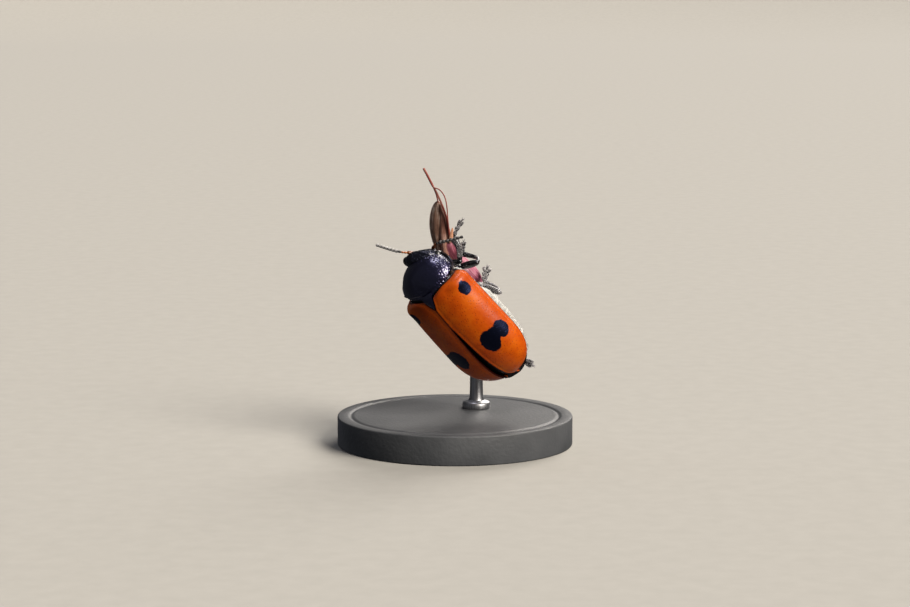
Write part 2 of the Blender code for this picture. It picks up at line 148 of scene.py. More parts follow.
def pose_matrix():
    """Body frame in millimetres to display frame in metres."""
    right = Vector((1.0, 0.0, 0.0))
    up = Vector((0.0, math.sin(VIEW_RISE), math.cos(VIEW_RISE)))
    near = Vector((0.0, -math.cos(VIEW_RISE), math.sin(VIEW_RISE)))
    level = math.cos(HEADING) * right + math.sin(HEADING) * up
    forward = math.cos(HEAD_NEAR) * level + math.sin(HEAD_NEAR) * near
    beside = math.sin(HEADING) * right - math.cos(HEADING) * up
    back = forward.cross(-beside)
    starboard = math.cos(ROLL) * beside + math.sin(ROLL) * back
    dorsal = math.cos(ROLL) * back - math.sin(ROLL) * beside
    turned = Matrix((forward, -starboard, dorsal)).transposed().to_4x4()
    return Matrix.Translation(BODY_AT) @ turned @ Matrix.Scale(MM, 4)


BEETLE = pose_matrix()
DISPLAY = Matrix.Scale(MM, 4)


def head_matrix():
    """Head frame to body frame: X out of the face, Y to its left, Z to its crown."""
    nod = Matrix.Rotation(HEAD_NOD, 4, "Y")
    turn = Matrix.Rotation(-HEAD_TURN, 4, "Z")
    return Matrix.Translation(HEAD_AT) @ turn @ nod


HEAD = head_matrix()


# ------------------------------------------------------------------ modelling helpers

def clamp(value, low=0.0, high=1.0):
    """The value, kept between low and high."""
    return max(low, min(high, value))


def eased(value):
    """0 to 1 with a soft start and a soft end."""
    value = clamp(value)
    return value * value * (3.0 - 2.0 * value)


def hump(distance, reach):
    """A soft bump of height 1 that falls away over reach."""
    return math.exp(-(distance / reach) ** 2)


def signed_power(value, power):
    """The size raised to a power, with the sign kept."""
    return math.copysign(abs(value) ** power, value)


def alone(piece):
    """Select one piece only, and make it active."""
    bpy.ops.object.select_all(action="DESELECT")
    piece.select_set(True)
    bpy.context.view_layer.objects.active = piece


def named(name):
    """Name the newest piece and its mesh."""
    piece = bpy.context.object
    piece.name = name
    piece.data.name = name
    return piece


def applied(piece, kind, **settings):
    """Add a modifier and apply it at once."""
    alone(piece)
    step = piece.modifiers.new(kind.lower(), kind)
    for key, value in settings.items():
        setattr(step, key, value)
    bpy.ops.object.modifier_apply(modifier=step.name)
    return piece


def thickened(piece, wall):
    """Give a sheet a wall that grows inwards."""
    return applied(piece, "SOLIDIFY", thickness=wall, offset=-1.0)


def rounded(piece, width, segments=2):
    """Round the sharp edges."""
    return applied(piece, "BEVEL", width=width, segments=segments, limit_method="ANGLE",
                   angle_limit=math.radians(40.0))


def smoothed(piece, levels=1):
    """Subdivide to a smooth form."""
    return applied(piece, "SUBSURF", levels=levels, render_levels=levels)


def edited(piece, *steps):
    """Run mesh operators, each with its settings, on all of a piece."""
    alone(piece)
    bpy.ops.object.mode_set(mode="EDIT")
    bpy.ops.mesh.select_all(action="SELECT")
    for step, settings in steps:
        step(**settings)
    bpy.ops.object.mode_set(mode="OBJECT")
    return piece


def made_whole(piece):
    """Merge doubled points and turn every face outwards."""
    return edited(piece, (bpy.ops.mesh.remove_doubles, {"threshold": MERGE}),
                  (bpy.ops.mesh.normals_make_consistent, {"inside": False}))


def picked(piece, kind, test):
    """Enter edit mode with only the "edges" or "faces" of a piece that pass a test selected."""
    alone(piece)
    bpy.ops.object.mode_set(mode="EDIT")
    bpy.ops.mesh.select_mode(type={"edges": "EDGE", "faces": "FACE"}[kind])
    bpy.ops.mesh.select_all(action="DESELECT")
    for part in getattr(bmesh.from_edit_mesh(piece.data), kind):
        if test(part):
            part.select_set(True)
    bmesh.update_edit_mesh(piece.data)


def marked(piece, name, values):
    """Store one number per point for the finish to read."""
    mark = piece.data.attributes.new(name, "FLOAT", "POINT")
    mark.data.foreach_set("value", np.array(values, np.float32))
    return piece


def faced(piece, outward):
    """Turn an open sheet over if its faces look against outward(place)."""
    lean = sum(face.normal.dot(outward(face.center)) * face.area for face in piece.data.polygons)
    return edited(piece, (bpy.ops.mesh.flip_normals, {})) if lean < 0.0 else piece


def sheet(name, rows, columns, law, outward, **grades):
    """A grid drawn to a curved sheet: law(along, across) gives each point, both 0 to 1.

    Each of grades is a mark that the points also carry: grade(along, across) under its name.
    """
    bpy.ops.object.select_all(action="DESELECT")
    bpy.ops.mesh.primitive_grid_add(x_subdivisions=rows, y_subdivisions=columns, size=2.0)
    piece = named(name)
    piece.data.uv_layers[0].name = "sheet"
    lies = [((vertex.co.x + 1.0) / 2.0, (vertex.co.y + 1.0) / 2.0)
            for vertex in piece.data.vertices]
    for vertex, lie in zip(piece.data.vertices, lies):
        vertex.co = law(*lie)
    for mark, grade in grades.items():
        marked(piece, mark, [grade(*lie) for lie in lies])
    piece.data.update()
    return faced(edited(piece, (bpy.ops.mesh.remove_doubles, {"threshold": MERGE})), outward)


def ball(name, rings, around, law):
    """A ball drawn to a closed form: law(along, turn), along 0 to 1 from pole to pole."""
    bpy.ops.object.select_all(action="DESELECT")
    bpy.ops.mesh.primitive_uv_sphere_add(segments=around, ring_count=rings, radius=1.0)
    piece = named(name)
    for vertex in piece.data.vertices:
        along = math.acos(clamp(vertex.co.z, -1.0, 1.0)) / math.pi
        vertex.co = law(along, math.atan2(vertex.co.y, vertex.co.x))
    piece.data.update()
    return made_whole(piece)


def drawn_out(name, stations, sides=10, levels=1):
    """A straight form along X, extruded ring by ring.

    Each station is (distance, half width, half depth), and off the axis also (shift left,
    shift up).
    """
    stations = [(*station, 0.0, 0.0)[:5] for station in stations]
    first = stations[0]
    bpy.ops.object.select_all(action="DESELECT")
    bpy.ops.mesh.primitive_circle_add(vertices=sides, radius=1.0, fill_type="NGON",
                                      location=(first[0], first[3], first[4]),
                                      rotation=(0.0, math.pi / 2.0, 0.0))
    piece = named(name)
    bpy.ops.object.transform_apply(location=True, rotation=True, scale=True)
    bpy.ops.object.mode_set(mode="EDIT")
    bpy.ops.mesh.select_all(action="SELECT")
    bpy.ops.transform.resize(value=(1.0, first[1], first[2]),
                             center_override=(first[0], first[3], first[4]))
    for here, there in zip(stations, stations[1:]):
        step = (there[0] - here[0], there[3] - here[3], there[4] - here[4])
        bpy.ops.mesh.extrude_region_move(TRANSFORM_OT_translate={"value": step})
        bpy.ops.transform.resize(value=(1.0, there[1] / here[1], there[2] / here[2]),
                                 center_override=(there[0], there[3], there[4]))
    bpy.ops.mesh.select_all(action="SELECT")
    bpy.ops.mesh.normals_make_consistent(inside=False)
    bpy.ops.object.mode_set(mode="OBJECT")
    return smoothed(piece, levels) if levels else piece


def laid(pattern, name, start, end, wide, deep, up=(0.0, 0.0, 1.0)):
    """A copy of a straight unit-length pattern, laid from start to end."""
    start, end = Vector(start), Vector(end)
    axis = (end - start).normalized()
    side = Vector(up).cross(axis).normalized()
    rise = axis.cross(side)
    columns = Matrix((axis * (end - start).length, side * wide, rise * deep)).transposed()
    copy = bpy.data.objects.new(name, pattern.data.copy())
    copy.data.transform(Matrix.Translation(start) @ columns.to_4x4())
    bpy.context.scene.collection.objects.link(copy)
    return copy


def point_along(points, share):
    """Point and direction at a share of the way along a rounded line through points."""
    points = [Vector(point) for point in points]
    last = len(points) - 1
    reach = clamp(share) * last
    index = min(int(reach), last - 1)
    part = reach - index
    start, end = points[index], points[index + 1]
    leave = (end - points[max(index - 1, 0)]) * 0.5
    arrive = (points[min(index + 2, last)] - start) * 0.5
    cube, square = part ** 3, part ** 2
    spot = ((2 * cube - 3 * square + 1) * start + (cube - 2 * square + part) * leave
            + (3 * square - 2 * cube) * end + (cube - square) * arrive)
    slope = ((6 * square - 6 * part) * start + (3 * square - 4 * part + 1) * leave
             + (6 * part - 6 * square) * end + (3 * square - 2 * part) * arrive)
    return spot, slope.normalized()


def bent(pattern, name, points, wide, deep, steps=24):
    """A copy of a straight unit-length pattern, bent along a rounded line through points."""
    spots = [point_along(points, step / steps)[0] for step in range(steps + 1)]
    length = sum((b - a).length for a, b in zip(spots, spots[1:]))
    line = bpy.data.curves.new("guide", "CURVE")
    line.dimensions = "3D"
    line.twist_mode = "Z_UP"
    spline = line.splines.new("POLY")
    spline.points.add(steps)
    for point, spot in zip(spline.points, spots):
        point.co = (*spot, 1.0)
    guide = bpy.data.objects.new("guide", line)
    bpy.context.scene.collection.objects.link(guide)
    copy = bpy.data.objects.new(name, pattern.data.copy())
    copy.data.transform(Matrix.Diagonal((length, wide, deep, 1.0)))
    bpy.context.scene.collection.objects.link(copy)
    applied(copy, "CURVE", object=guide, deform_axis="POS_X")
    bpy.data.objects.remove(guide, do_unlink=True)
    bpy.data.curves.remove(line)
    return copy


def joined(name, parts):
    """Several parts as one piece."""
    bpy.ops.object.select_all(action="DESELECT")
    for part in parts:
        part.select_set(True)
    bpy.context.view_layer.objects.active = parts[0]
    if len(parts) > 1:
        bpy.ops.object.join()
    return named(name)


def dropped(*patterns):
    """Remove patterns that were only there to be copied."""
    for pattern in patterns:
        bpy.data.objects.remove(pattern, do_unlink=True)


def kept_place(piece):
    """Store each point's place in its modelling frame, in millimetres, for the finishes."""
    count = len(piece.data.vertices)
    spots = np.zeros(count * 3, np.float32)
    piece.data.vertices.foreach_get("co", spots)
    place = piece.data.attributes.new("own_mm", "FLOAT_VECTOR", "POINT")
    place.data.foreach_set("vector", spots)


def shown(piece, frame_matrix, finish, slot, *nodes):
    """Finish a piece, lay it into the display frame and say which CAD nodes it stands for."""
    alone(piece)
    bpy.ops.object.shade_smooth()
    if "own_mm" not in piece.data.attributes:
        kept_place(piece)
    piece.data.transform(frame_matrix)
    piece.data.update()
    piece.data.materials.clear()
    piece.data.materials.append(finish)
    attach(piece, "root")
    if nodes:
        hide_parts(*nodes)
    return piece


# ------------------------------------------------------------------ finishes

def linear(code):
    """An sRGB hex colour as linear red, green, blue and alpha."""
    parts = [int(code[at:at + 2], 16) / 255.0 for at in (1, 3, 5)]
    return (*[p / 12.92 if p <= 0.04045 else ((p + 0.055) / 1.055) ** 2.4 for p in parts], 1.0)


def fed(tree, node, inputs):
    """Feed a node's sockets, each with a value, a hex colour, an output or a node's live output."""
    for key, value in inputs.items():
        if isinstance(value, bpy.types.Node):
            value = next(output for output in value.outputs if output.enabled)
        if isinstance(value, bpy.types.NodeSocket):
            tree.links.new(value, node.inputs[key])
        else:
            node.inputs[key].default_value = linear(value) if isinstance(value, str) else value
    return node


def add(tree, kind, inputs=None, stops=None, **settings):
    """Add a node with its settings, its colour stops and what feeds its sockets."""
    made = tree.nodes.new("ShaderNode" + kind)
    for key, value in settings.items():
        setattr(made, key, value)
    if stops:
        marks = made.color_ramp.elements
        while len(marks) < len(stops):
            marks.new(0.5)
        for mark, (at, colour) in zip(marks, stops):
            mark.position = at
            mark.color = linear(colour)
    return fed(tree, made, inputs or {})


def new_finish(name):
    """An empty finish, its tree and its shader."""
    finish = bpy.data.materials.new(name)
    finish.use_nodes = True
    tree = finish.node_tree
    return finish, tree, tree.nodes["Principled BSDF"]


# Spots of one wing case: centre behind, beside and above the origin, and half sizes, mm
SPOTS = [
    ((-0.84, 1.90, 0.80), (0.43, 0.31, 0.38)),
    ((-3.91, 1.92, 0.86), (0.52, 0.40, 0.46)),
    ((-3.86, 1.56, 1.15), (0.42, 0.36, 0.36)),
    ((-4.05, 1.20, 1.37), (0.70, 0.53, 0.50)),
]
# Where the left case's shoulder spot reaches further in
LEFT_SPOTS = [
    ((-0.80, 1.70, 1.05), (0.38, 0.36, 0.38)),
]


def wing_case_finish():
    """Chitin wing case, hardened and waxy: lacquer-smooth orange with fine punctures.

    The pigment lies in the wall under a thin clear layer, so the colour is deep and the
    highlight soft; the black spots are pigment too and share the gloss.
    """
    finish, tree, shader = new_finish("chitin_wing_case_orange")
    place = add(tree, "Attribute", attribute_name="own_mm").outputs["Vector"]
    either = add(tree, "VectorMath", {0: place}, operation="ABSOLUTE")
    # Spot edges wander by a few hundredths of a millimetre
    wander = add(tree, "TexNoise", {"Vector": place, "Scale": 4.2, "Detail": 3.0})
    shift = add(tree, "VectorMath", {0: wander.outputs["Color"], 1: (0.5, 0.5, 0.5)},
                operation="SUBTRACT")
    shift = add(tree, "VectorMath", {0: shift, "Scale": 0.22}, operation="SCALE")
    spot_place = add(tree, "VectorMath", {0: either, 1: shift}, operation="ADD")
    left_place = add(tree, "VectorMath", {0: place, 1: (-1.0, 1.0, 1.0)}, operation="MULTIPLY")
    left_place = add(tree, "VectorMath", {0: left_place, 1: shift}, operation="ADD")
    nearest = None
    spots = [(spot_place, *spot) for spot in SPOTS] + [(left_place, *spot) for spot in LEFT_SPOTS]
    for where, (x, y, z), half in spots:
        away = add(tree, "VectorMath", {0: where, 1: (abs(x), y, z)}, operation="SUBTRACT")
        away = add(tree, "VectorMath", {0: away, 1: half}, operation="DIVIDE")
        away = add(tree, "VectorMath", {0: away}, operation="LENGTH").outputs["Value"]
        if nearest is None:
            nearest = away
        else:
            nearest = add(tree, "Math", {0: nearest, 1: away, 2: 0.22}, operation="SMOOTH_MIN")
    spot = add(tree, "MapRange", {"Value": nearest, "From Min": 1.03, "From Max": 0.96})
    # Real punctures stand about 0.08 mm apart; drawn at 0.13 mm so that they show
    pits = add(tree, "TexVoronoi", {"Vector": place, "Scale": 1.0 / 0.13, "Randomness": 0.9})
    pit = add(tree, "MapRange", {"Value": pits, "From Min": 0.30, "From Max": 0.05})
    cloud = add(tree, "TexNoise", {"Vector": place, "Scale": 0.9, "Detail": 4.0, "Roughness": 0.6})
    orange = add(tree, "ValToRGB", {"Fac": cloud},
                 stops=[(0.30, "#BE4600"), (0.52, "#D25805"), (0.72, "#E06A0C")])
    # Painted shade: each puncture is painted a darker orange, standing in for the shade in its
    # hollow
    pits_shaded = add(tree, "Mix", {0: pit, 6: orange, 7: "#962A00"}, data_type="RGBA")
    softened = add(tree, "Mix", {0: 0.95, 6: orange, 7: pits_shaded}, data_type="RGBA")
    # Painted shade: the rim and the inside of the wall are painted darker than the disc, along the
    # seam, the margin and the base, where shade falls between the parts
    edge = add(tree, "Attribute", attribute_name="edge").outputs["Fac"]
    outline_shaded = add(tree, "Mix", {0: edge, 6: softened, 7: "#3A0D04"}, data_type="RGBA")
    painted = add(tree, "Mix", {0: spot, 6: outline_shaded, 7: "#080A14"}, data_type="RGBA")
    cast = add(tree, "Mix", {0: spot, 6: "#FFFFFF", 7: "#8FA4FF"}, data_type="RGBA")
    ripple = add(tree, "TexNoise", {"Vector": place, "Scale": 5.0, "Detail": 5.0})
    rough = add(tree, "MapRange", {"Value": ripple, "To Min": 0.30, "To Max": 0.40})
    dimple = add(tree, "Bump", {"Height": pit, "Strength": 0.6, "Distance": 0.000014}, invert=True)
    wave = add(tree, "Bump", {"Height": ripple, "Strength": 0.35, "Distance": 0.00003,
                              "Normal": dimple})
    fed(tree, shader, {"Base Color": painted, "Roughness": rough, "Normal": wave,
                       "Specular Tint": cast, "IOR": 1.54, "Specular IOR Level": 0.30,
                       "Coat Weight": 0.06, "Coat Roughness": 0.12})
    return finish


def cuticle_finish(name, base, sheen_tint, roughness, spacing, depth, coat, streak=None,
                   cover=(0.36, 0.58), brim=None, gloss=0.10, mirror=0.50):
    """Black cuticle, hardened chitin: polished, with a cold blue cast in its reflections.

    spacing is the distance between punctures in mm, depth how deep they are in m, and coat how
    much clear layer there is. streak is the size in mm of the lying down that silvers the skin
    where the piece's down mark says, cover how closely it lies, brim the colour painted on the
    thin see-through rim as painted light showing through it, gloss the roughness of the clear
    layer and mirror how strongly the tinted layer below it reflects.
    """
    finish, tree, shader = new_finish(name)
    place = add(tree, "Attribute", attribute_name="own_mm").outputs["Vector"]
    pits = add(tree, "TexVoronoi", {"Vector": place, "Scale": 1.0 / spacing, "Randomness": 1.0})
    pit = add(tree, "MapRange", {"Value": pits, "From Min": 0.36, "From Max": 0.12})
    cloud = add(tree, "TexNoise", {"Vector": place, "Scale": 3.0, "Detail": 5.0})
    tone = add(tree, "Mix", {0: cloud, 6: base[0], 7: base[1]}, data_type="RGBA")
    rough = add(tree, "MapRange", {"Value": cloud, "To Min": roughness * 0.8,
                                   "To Max": roughness * 1.35})
    # Painted light: the flat side rim is painted olive brown, standing in for light showing through
    # the thin rim
    if brim:
        thin = add(tree, "Attribute", attribute_name="brim").outputs["Fac"]
        tone = add(tree, "Mix", {0: thin, 6: tone, 7: brim}, data_type="RGBA")
    dimple = add(tree, "Bump", {"Height": pit, "Strength": 0.8, "Distance": depth}, invert=True)
    wave = add(tree, "Bump", {"Height": cloud, "Strength": 0.25, "Distance": 0.00003,
                              "Normal": dimple})
    if streak:
        # Single hairs are about 0.01 mm thick; drawn as streaks that show
        drawn = add(tree, "Mapping", {"Vector": place, "Scale": [1.0 / size for size in streak]})
        lie = add(tree, "TexNoise", {"Vector": drawn, "Scale": 1.0, "Detail": 3.0,
                                     "Roughness": 0.65})
        down = add(tree, "Attribute", attribute_name="down").outputs["Fac"]
        strand = add(tree, "MapRange", {"Value": lie, "From Min": cover[0], "From Max": cover[1]})
        silver = add(tree, "Math", {0: strand, 1: down}, operation="MULTIPLY")
        hair = add(tree, "Mix", {0: lie, 6: "#A5A39E", 7: "#FFFFFC"}, data_type="RGBA")
        tone = add(tree, "Mix", {0: silver, 6: tone, 7: hair}, data_type="RGBA")
        rough = add(tree, "Mix", {0: silver, 2: rough, 3: 0.5}, data_type="FLOAT")
        wave = add(tree, "Bump", {"Height": silver, "Strength": 0.7, "Distance": 0.00001,
                                  "Normal": wave})
    fed(tree, shader, {"Base Color": tone, "Roughness": rough, "Normal": wave, "IOR": 1.56,
                       "Specular IOR Level": mirror, "Specular Tint": sheen_tint,
                       "Coat Weight": coat, "Coat Roughness": gloss, "Coat IOR": 1.7})
    return finish


def eye_finish():
    """Compound eye: glass-smooth lenses packed in hexagons, black with a cold glint."""
    finish, tree, shader = new_finish("compound_eye_lens")
    place = add(tree, "Attribute", attribute_name="own_mm").outputs["Vector"]
    # Real facets are about 0.02 mm across; drawn at 0.035 mm so that they show
    facets = add(tree, "TexVoronoi", {"Vector": place, "Scale": 1.0 / 0.035, "Randomness": 0.15})
    tone = add(tree, "ValToRGB", {"Fac": facets}, stops=[(0.1, "#14171C"), (0.7, "#050506")])
    dome = add(tree, "Bump", {"Height": facets, "Strength": 0.7, "Distance": 0.00001}, invert=True)
    rough = add(tree, "MapRange", {"Value": facets, "To Min": 0.12, "To Max": 0.35})
    fed(tree, shader, {"Base Color": tone, "Roughness": rough, "Normal": dome, "IOR": 1.5,
                       "Coat Weight": 0.8, "Coat Roughness": 0.05})
    return finish


def feeler_finish():
    """Feeler cuticle: amber at the first joints, then soot black with a fine grey down, and pale
    painted highlights where the down mark says.
    """
    finish, tree, shader = new_finish("cuticle_feeler")
    place = add(tree, "Attribute", attribute_name="own_mm").outputs["Vector"]
    along = add(tree, "Attribute", attribute_name="along").outputs["Fac"]
    grain = add(tree, "TexNoise", {"Vector": place, "Scale": 26.0, "Detail": 3.0})
    joint = add(tree, "ValToRGB", {"Fac": along},
                stops=[(0.0, "#3A1C0A"), (0.12, "#B4621F"), (0.25, "#A4561C"), (0.31, "#1A1210"),
                       (1.0, "#0B0A0B")])
    # The down mark holds silver down and painted highlight together: where it is high, the joint is
    # painted pale
    strand = add(tree, "MapRange", {"Value": grain, "From Min": 0.32, "From Max": 0.48})
    down = add(tree, "Attribute", attribute_name="down").outputs["Fac"]
    silver = add(tree, "Math", {0: strand, 1: down}, operation="MULTIPLY")
    tone = add(tree, "Mix", {0: silver, 6: joint, 7: "#DEDCDA"}, data_type="RGBA")
    fuzz = add(tree, "Bump", {"Height": grain, "Strength": 0.5, "Distance": 0.00001})
    rough = add(tree, "MapRange", {"Value": grain, "To Min": 0.24, "To Max": 0.42})
    fed(tree, shader, {"Base Color": tone, "Roughness": rough, "Normal": fuzz, "IOR": 1.56,
                       "Coat Weight": 0.3, "Coat Roughness": 0.16})
    return finish


def down_finish(name, dark, middle, pale):
    """Insect down: air-filled hairs, so they are pale, and satin where they lie together."""
    finish, tree, shader = new_finish(name)
    place = add(tree, "Attribute", attribute_name="own_mm").outputs["Vector"]
    clump = add(tree, "TexNoise", {"Vector": place, "Scale": 4.0, "Detail": 3.0})
    strand = add(tree, "TexNoise", {"Vector": place, "Scale": 22.0, "Detail": 2.0})
    mixed = add(tree, "Mix", {0: 0.5, 2: clump, 3: strand}, data_type="FLOAT")
    tone = add(tree, "ValToRGB", {"Fac": mixed}, stops=[(0.32, dark), (0.46, middle), (0.60, pale)])
    rough = add(tree, "MapRange", {"Value": strand, "To Min": 0.34, "To Max": 0.55})
    fed(tree, shader, {"Base Color": tone, "Roughness": rough, "IOR": 1.55})
    return finish


def grass_finish(name, dark, middle, pale, stripes, roughness, margin=0.0):
    """Dry grass, a fibrous stem or husk: satin, with fine ribs along it and thin pale margins."""
    finish, tree, shader = new_finish(name)
    place = add(tree, "Attribute", attribute_name="own_mm").outputs["Vector"]
    lie = add(tree, "UVMap", uv_map="sheet").outputs["UV"]
    drawn = add(tree, "Mapping", {"Vector": lie, "Scale": (2.0, stripes, 1.0)})
    ribs = add(tree, "TexNoise", {"Vector": drawn, "Scale": 1.0, "Detail": 3.0, "Roughness": 0.6})
    cloud = add(tree, "TexNoise", {"Vector": place, "Scale": 1.6, "Detail": 4.0})
    mixed = add(tree, "Mix", {0: 0.35, 2: ribs, 3: cloud}, data_type="FLOAT")
    tone = add(tree, "ValToRGB", {"Fac": mixed}, stops=[(0.34, dark), (0.50, middle), (0.64, pale)])
    across = add(tree, "SeparateXYZ", {"Vector": lie}).outputs["Y"]
    from_middle = add(tree, "Math", {0: across, 1: 0.5}, operation="SUBTRACT")
    from_middle = add(tree, "Math", {0: from_middle}, operation="ABSOLUTE")
    rim = add(tree, "MapRange", {"Value": from_middle, "From Min": 0.36, "From Max": 0.49,
                                 "To Max": margin})
    tone = add(tree, "Mix", {0: rim, 6: tone, 7: pale}, data_type="RGBA")
    raised = add(tree, "Bump", {"Height": ribs, "Strength": 0.8, "Distance": 0.00003})
    rough = add(tree, "MapRange", {"Value": cloud, "To Min": roughness - 0.1,
                                   "To Max": roughness + 0.12})
    fed(tree, shader, {"Base Color": tone, "Roughness": rough, "Normal": raised, "IOR": 1.45})
    return finish


def steel_finish():
    """Drawn stainless steel wire: bright metal with fine lines along it."""
    finish, tree, shader = new_finish("stainless_steel_drawn")
    place = add(tree, "Attribute", attribute_name="own_mm").outputs["Vector"]
    # Real draw lines are a few microns wide; drawn at 0.05 mm so that they show
    drawn = add(tree, "Mapping", {"Vector": place, "Scale": (20.0, 20.0, 0.6)})
    lines = add(tree, "TexNoise", {"Vector": drawn, "Scale": 1.0, "Detail": 2.0})
    tone = add(tree, "ValToRGB", {"Fac": lines}, stops=[(0.3, "#9C9DA0"), (0.7, "#C4C5C8")])
    rough = add(tree, "MapRange", {"Value": lines, "To Min": 0.34, "To Max": 0.50})
    lined = add(tree, "Bump", {"Height": lines, "Strength": 0.3, "Distance": 0.00001})
    fed(tree, shader, {"Base Color": tone, "Roughness": rough, "Normal": lined, "Metallic": 1.0})
    return finish


def resin_finish():
    """Cast resin, slate grey: matt, with the fine even grain of its mould."""
    finish, tree, shader = new_finish("cast_resin_grey")
    place = add(tree, "Attribute", attribute_name="own_mm").outputs["Vector"]
    # The grain of the mould is about 0.12 mm; drawn at 0.2 mm so that it shows
    grain = add(tree, "TexNoise", {"Vector": place, "Scale": 1.0 / 0.2, "Detail": 3.0})
    dust = add(tree, "TexNoise", {"Vector": place, "Scale": 0.5, "Detail": 6.0})
    tone = add(tree, "ValToRGB", {"Fac": dust}, stops=[(0.3, "#4B4D50"), (0.7, "#595B5E")])
    rough = add(tree, "MapRange", {"Value": dust, "To Min": 0.42, "To Max": 0.56})
    bumped = add(tree, "Bump", {"Height": grain, "Strength": 0.5, "Distance": 0.00004})
    fed(tree, shader, {"Base Color": tone, "Roughness": rough, "Normal": bumped, "IOR": 1.5,
                       "Specular IOR Level": 0.4})
    return finish


def paper_finish():
    """Matt background paper: pale and even, with a faint tooth."""
    finish, tree, shader = new_finish("background_paper")
    where = add(tree, "TexCoord").outputs["Object"]
    tooth = add(tree, "TexNoise", {"Vector": where, "Scale": 900.0, "Detail": 3.0})
    tone = add(tree, "ValToRGB", {"Fac": tooth}, stops=[(0.2, "#B1AFA9"), (0.8, "#B8B6B0")])
    fed(tree, shader, {"Base Color": tone, "Roughness": 0.9})
    return finish


ORANGE = wing_case_finish()
# The brim colour here is painted light showing through the thin side rim of the neck shield
BLACK_SHIELD = cuticle_finish("chitin_pronotum_blue_black", ("#010108", "#040418"), "#B4ACFF",
                              roughness=0.32, spacing=0.10, depth=0.000008, coat=1.0,
                              brim="#42361A", gloss=0.17, mirror=0.95)
BLACK_HEAD = cuticle_finish("chitin_head_black", ("#06060B", "#0D0E17"), "#CCD1FF",
                            roughness=0.32, spacing=0.085, depth=0.000030, coat=0.45, gloss=0.15)
BLACK_TRUNK = cuticle_finish("chitin_underside_black", ("#060607", "#101012"), "#E6E6F0",
                             roughness=0.40, spacing=0.09, depth=0.000015, coat=0.0,
                             streak=(0.16, 0.030, 0.030))
BLACK_LEG = cuticle_finish("chitin_leg_black", ("#040405", "#0A0A0C"), "#E2E4F2",
                           roughness=0.22, spacing=0.07, depth=0.00001, coat=0.80,
                           streak=(0.035, 0.035, 0.035), cover=(0.60, 0.72))
EYE = eye_finish()
FEELER = feeler_finish()
DOWN = down_finish("insect_down_silver", "#C9C8C2", "#F1F0EB", "#FFFFFD")
LEG_DOWN = down_finish("insect_down_grey", "#98949A", "#C6C2C6", "#F8F5F4")
HUSK_BROWN = grass_finish("grass_husk_brown", "#35221E", "#94705E", "#F2DECE", 22.0, 0.45, 0.9)
HUSK_RUST = grass_finish("grass_husk_rust", "#5A3029", "#A97160", "#E6C4B2", 16.0, 0.5, 0.6)
HUSK_PINK = grass_finish("grass_husk_pink", "#7A3048", "#B9657F", "#F0C6D0", 22.0, 0.5, 0.5)
HUSK_RED = grass_finish("grass_husk_red", "#471C25", "#8E4557", "#C98795", 18.0, 0.5)
FLORET = grass_finish("grass_floret_cream", "#B9744E", "#E2A987", "#F7DEC6", 14.0, 0.5)
STEM_RED = grass_finish("grass_stem_red", "#64211C", "#96463C", "#C98F7E", 8.0, 0.4)
STEEL = steel_finish()
RESIN = resin_finish()
PAPER = paper_finish()


# ------------------------------------------------------------------ wing cases and scutellum

def case_half_width(share):
    """Half-width of the closed wing cases at a share of their length."""
    shoulder = 1.0 - 0.16 * clamp((0.07 - share) / 0.07) ** 2
    sides = 0.965 + 0.035 * clamp(share / 0.6)
    tail = math.sqrt(1.0 - clamp((share - 0.60) / 0.40) ** 2.6)
    return CASE_HALF_WIDTH * shoulder * sides * tail


def case_height(share):
    """Height of the closed wing cases at a share of their length."""
    rise = clamp(share / 0.35)
    tail = math.sqrt(1.0 - clamp((share - 0.45) / 0.55) ** 2.6)
    return CASE_HEIGHT * (0.86 + 0.14 * rise * (2.0 - rise)) * tail


def case_gap(share):
    """Half the opening between the two wing cases at a share of their length."""
    behind = share * CASE_LENGTH
    notch = (SCUTELLUM_HALF + 0.03) * clamp(1.0 - behind / (SCUTELLUM_LENGTH + 0.03)) ** 0.85
    notch = max(notch, BASE_REACH * (1.0 - clamp(behind / BASE_SLOPE) ** 0.75))
    opened = clamp((behind - PARTING_START) / (CASE_LENGTH - PARTING_START))
    rounded_tip = 0.24 * clamp((share - 0.93) / 0.07) ** 2
    return SEAM_HALF + max(notch, PARTING_HALF * opened ** 0.80) + rounded_tip


def base_line(y):
    """How far behind the origin a wing case begins, at a distance beside the middle."""
    return BASE_SLOPE * clamp(1.0 - y / BASE_REACH) ** (1.0 / 0.75)


def case_end():
    """Share of the length where the two edges of one wing case meet."""
    low, high = 0.9, 1.0
    for _ in range(40):
        middle = (low + high) / 2.0
        if case_half_width(middle) > case_gap(middle):
            low = middle
        else:
            high = middle
    return low


CASE_END = case_end()


def case_spot(along, across):
    """Where a point of the sheet lies: distance behind, turn, seam turn, half-width and height."""
    share = CASE_END * math.sin(along * math.pi / 2.0) ** 1.6
    across = across - 0.105 * math.sin(2.0 * math.pi * across)
    half_width = max(case_half_width(share), 1e-4)
    height = case_height(share)
    seam_turn = math.acos(clamp(case_gap(share) / half_width) ** (CASE_ARCH / 2.0))
    return share * CASE_LENGTH, seam_turn * (1.0 - across), seam_turn, half_width, height


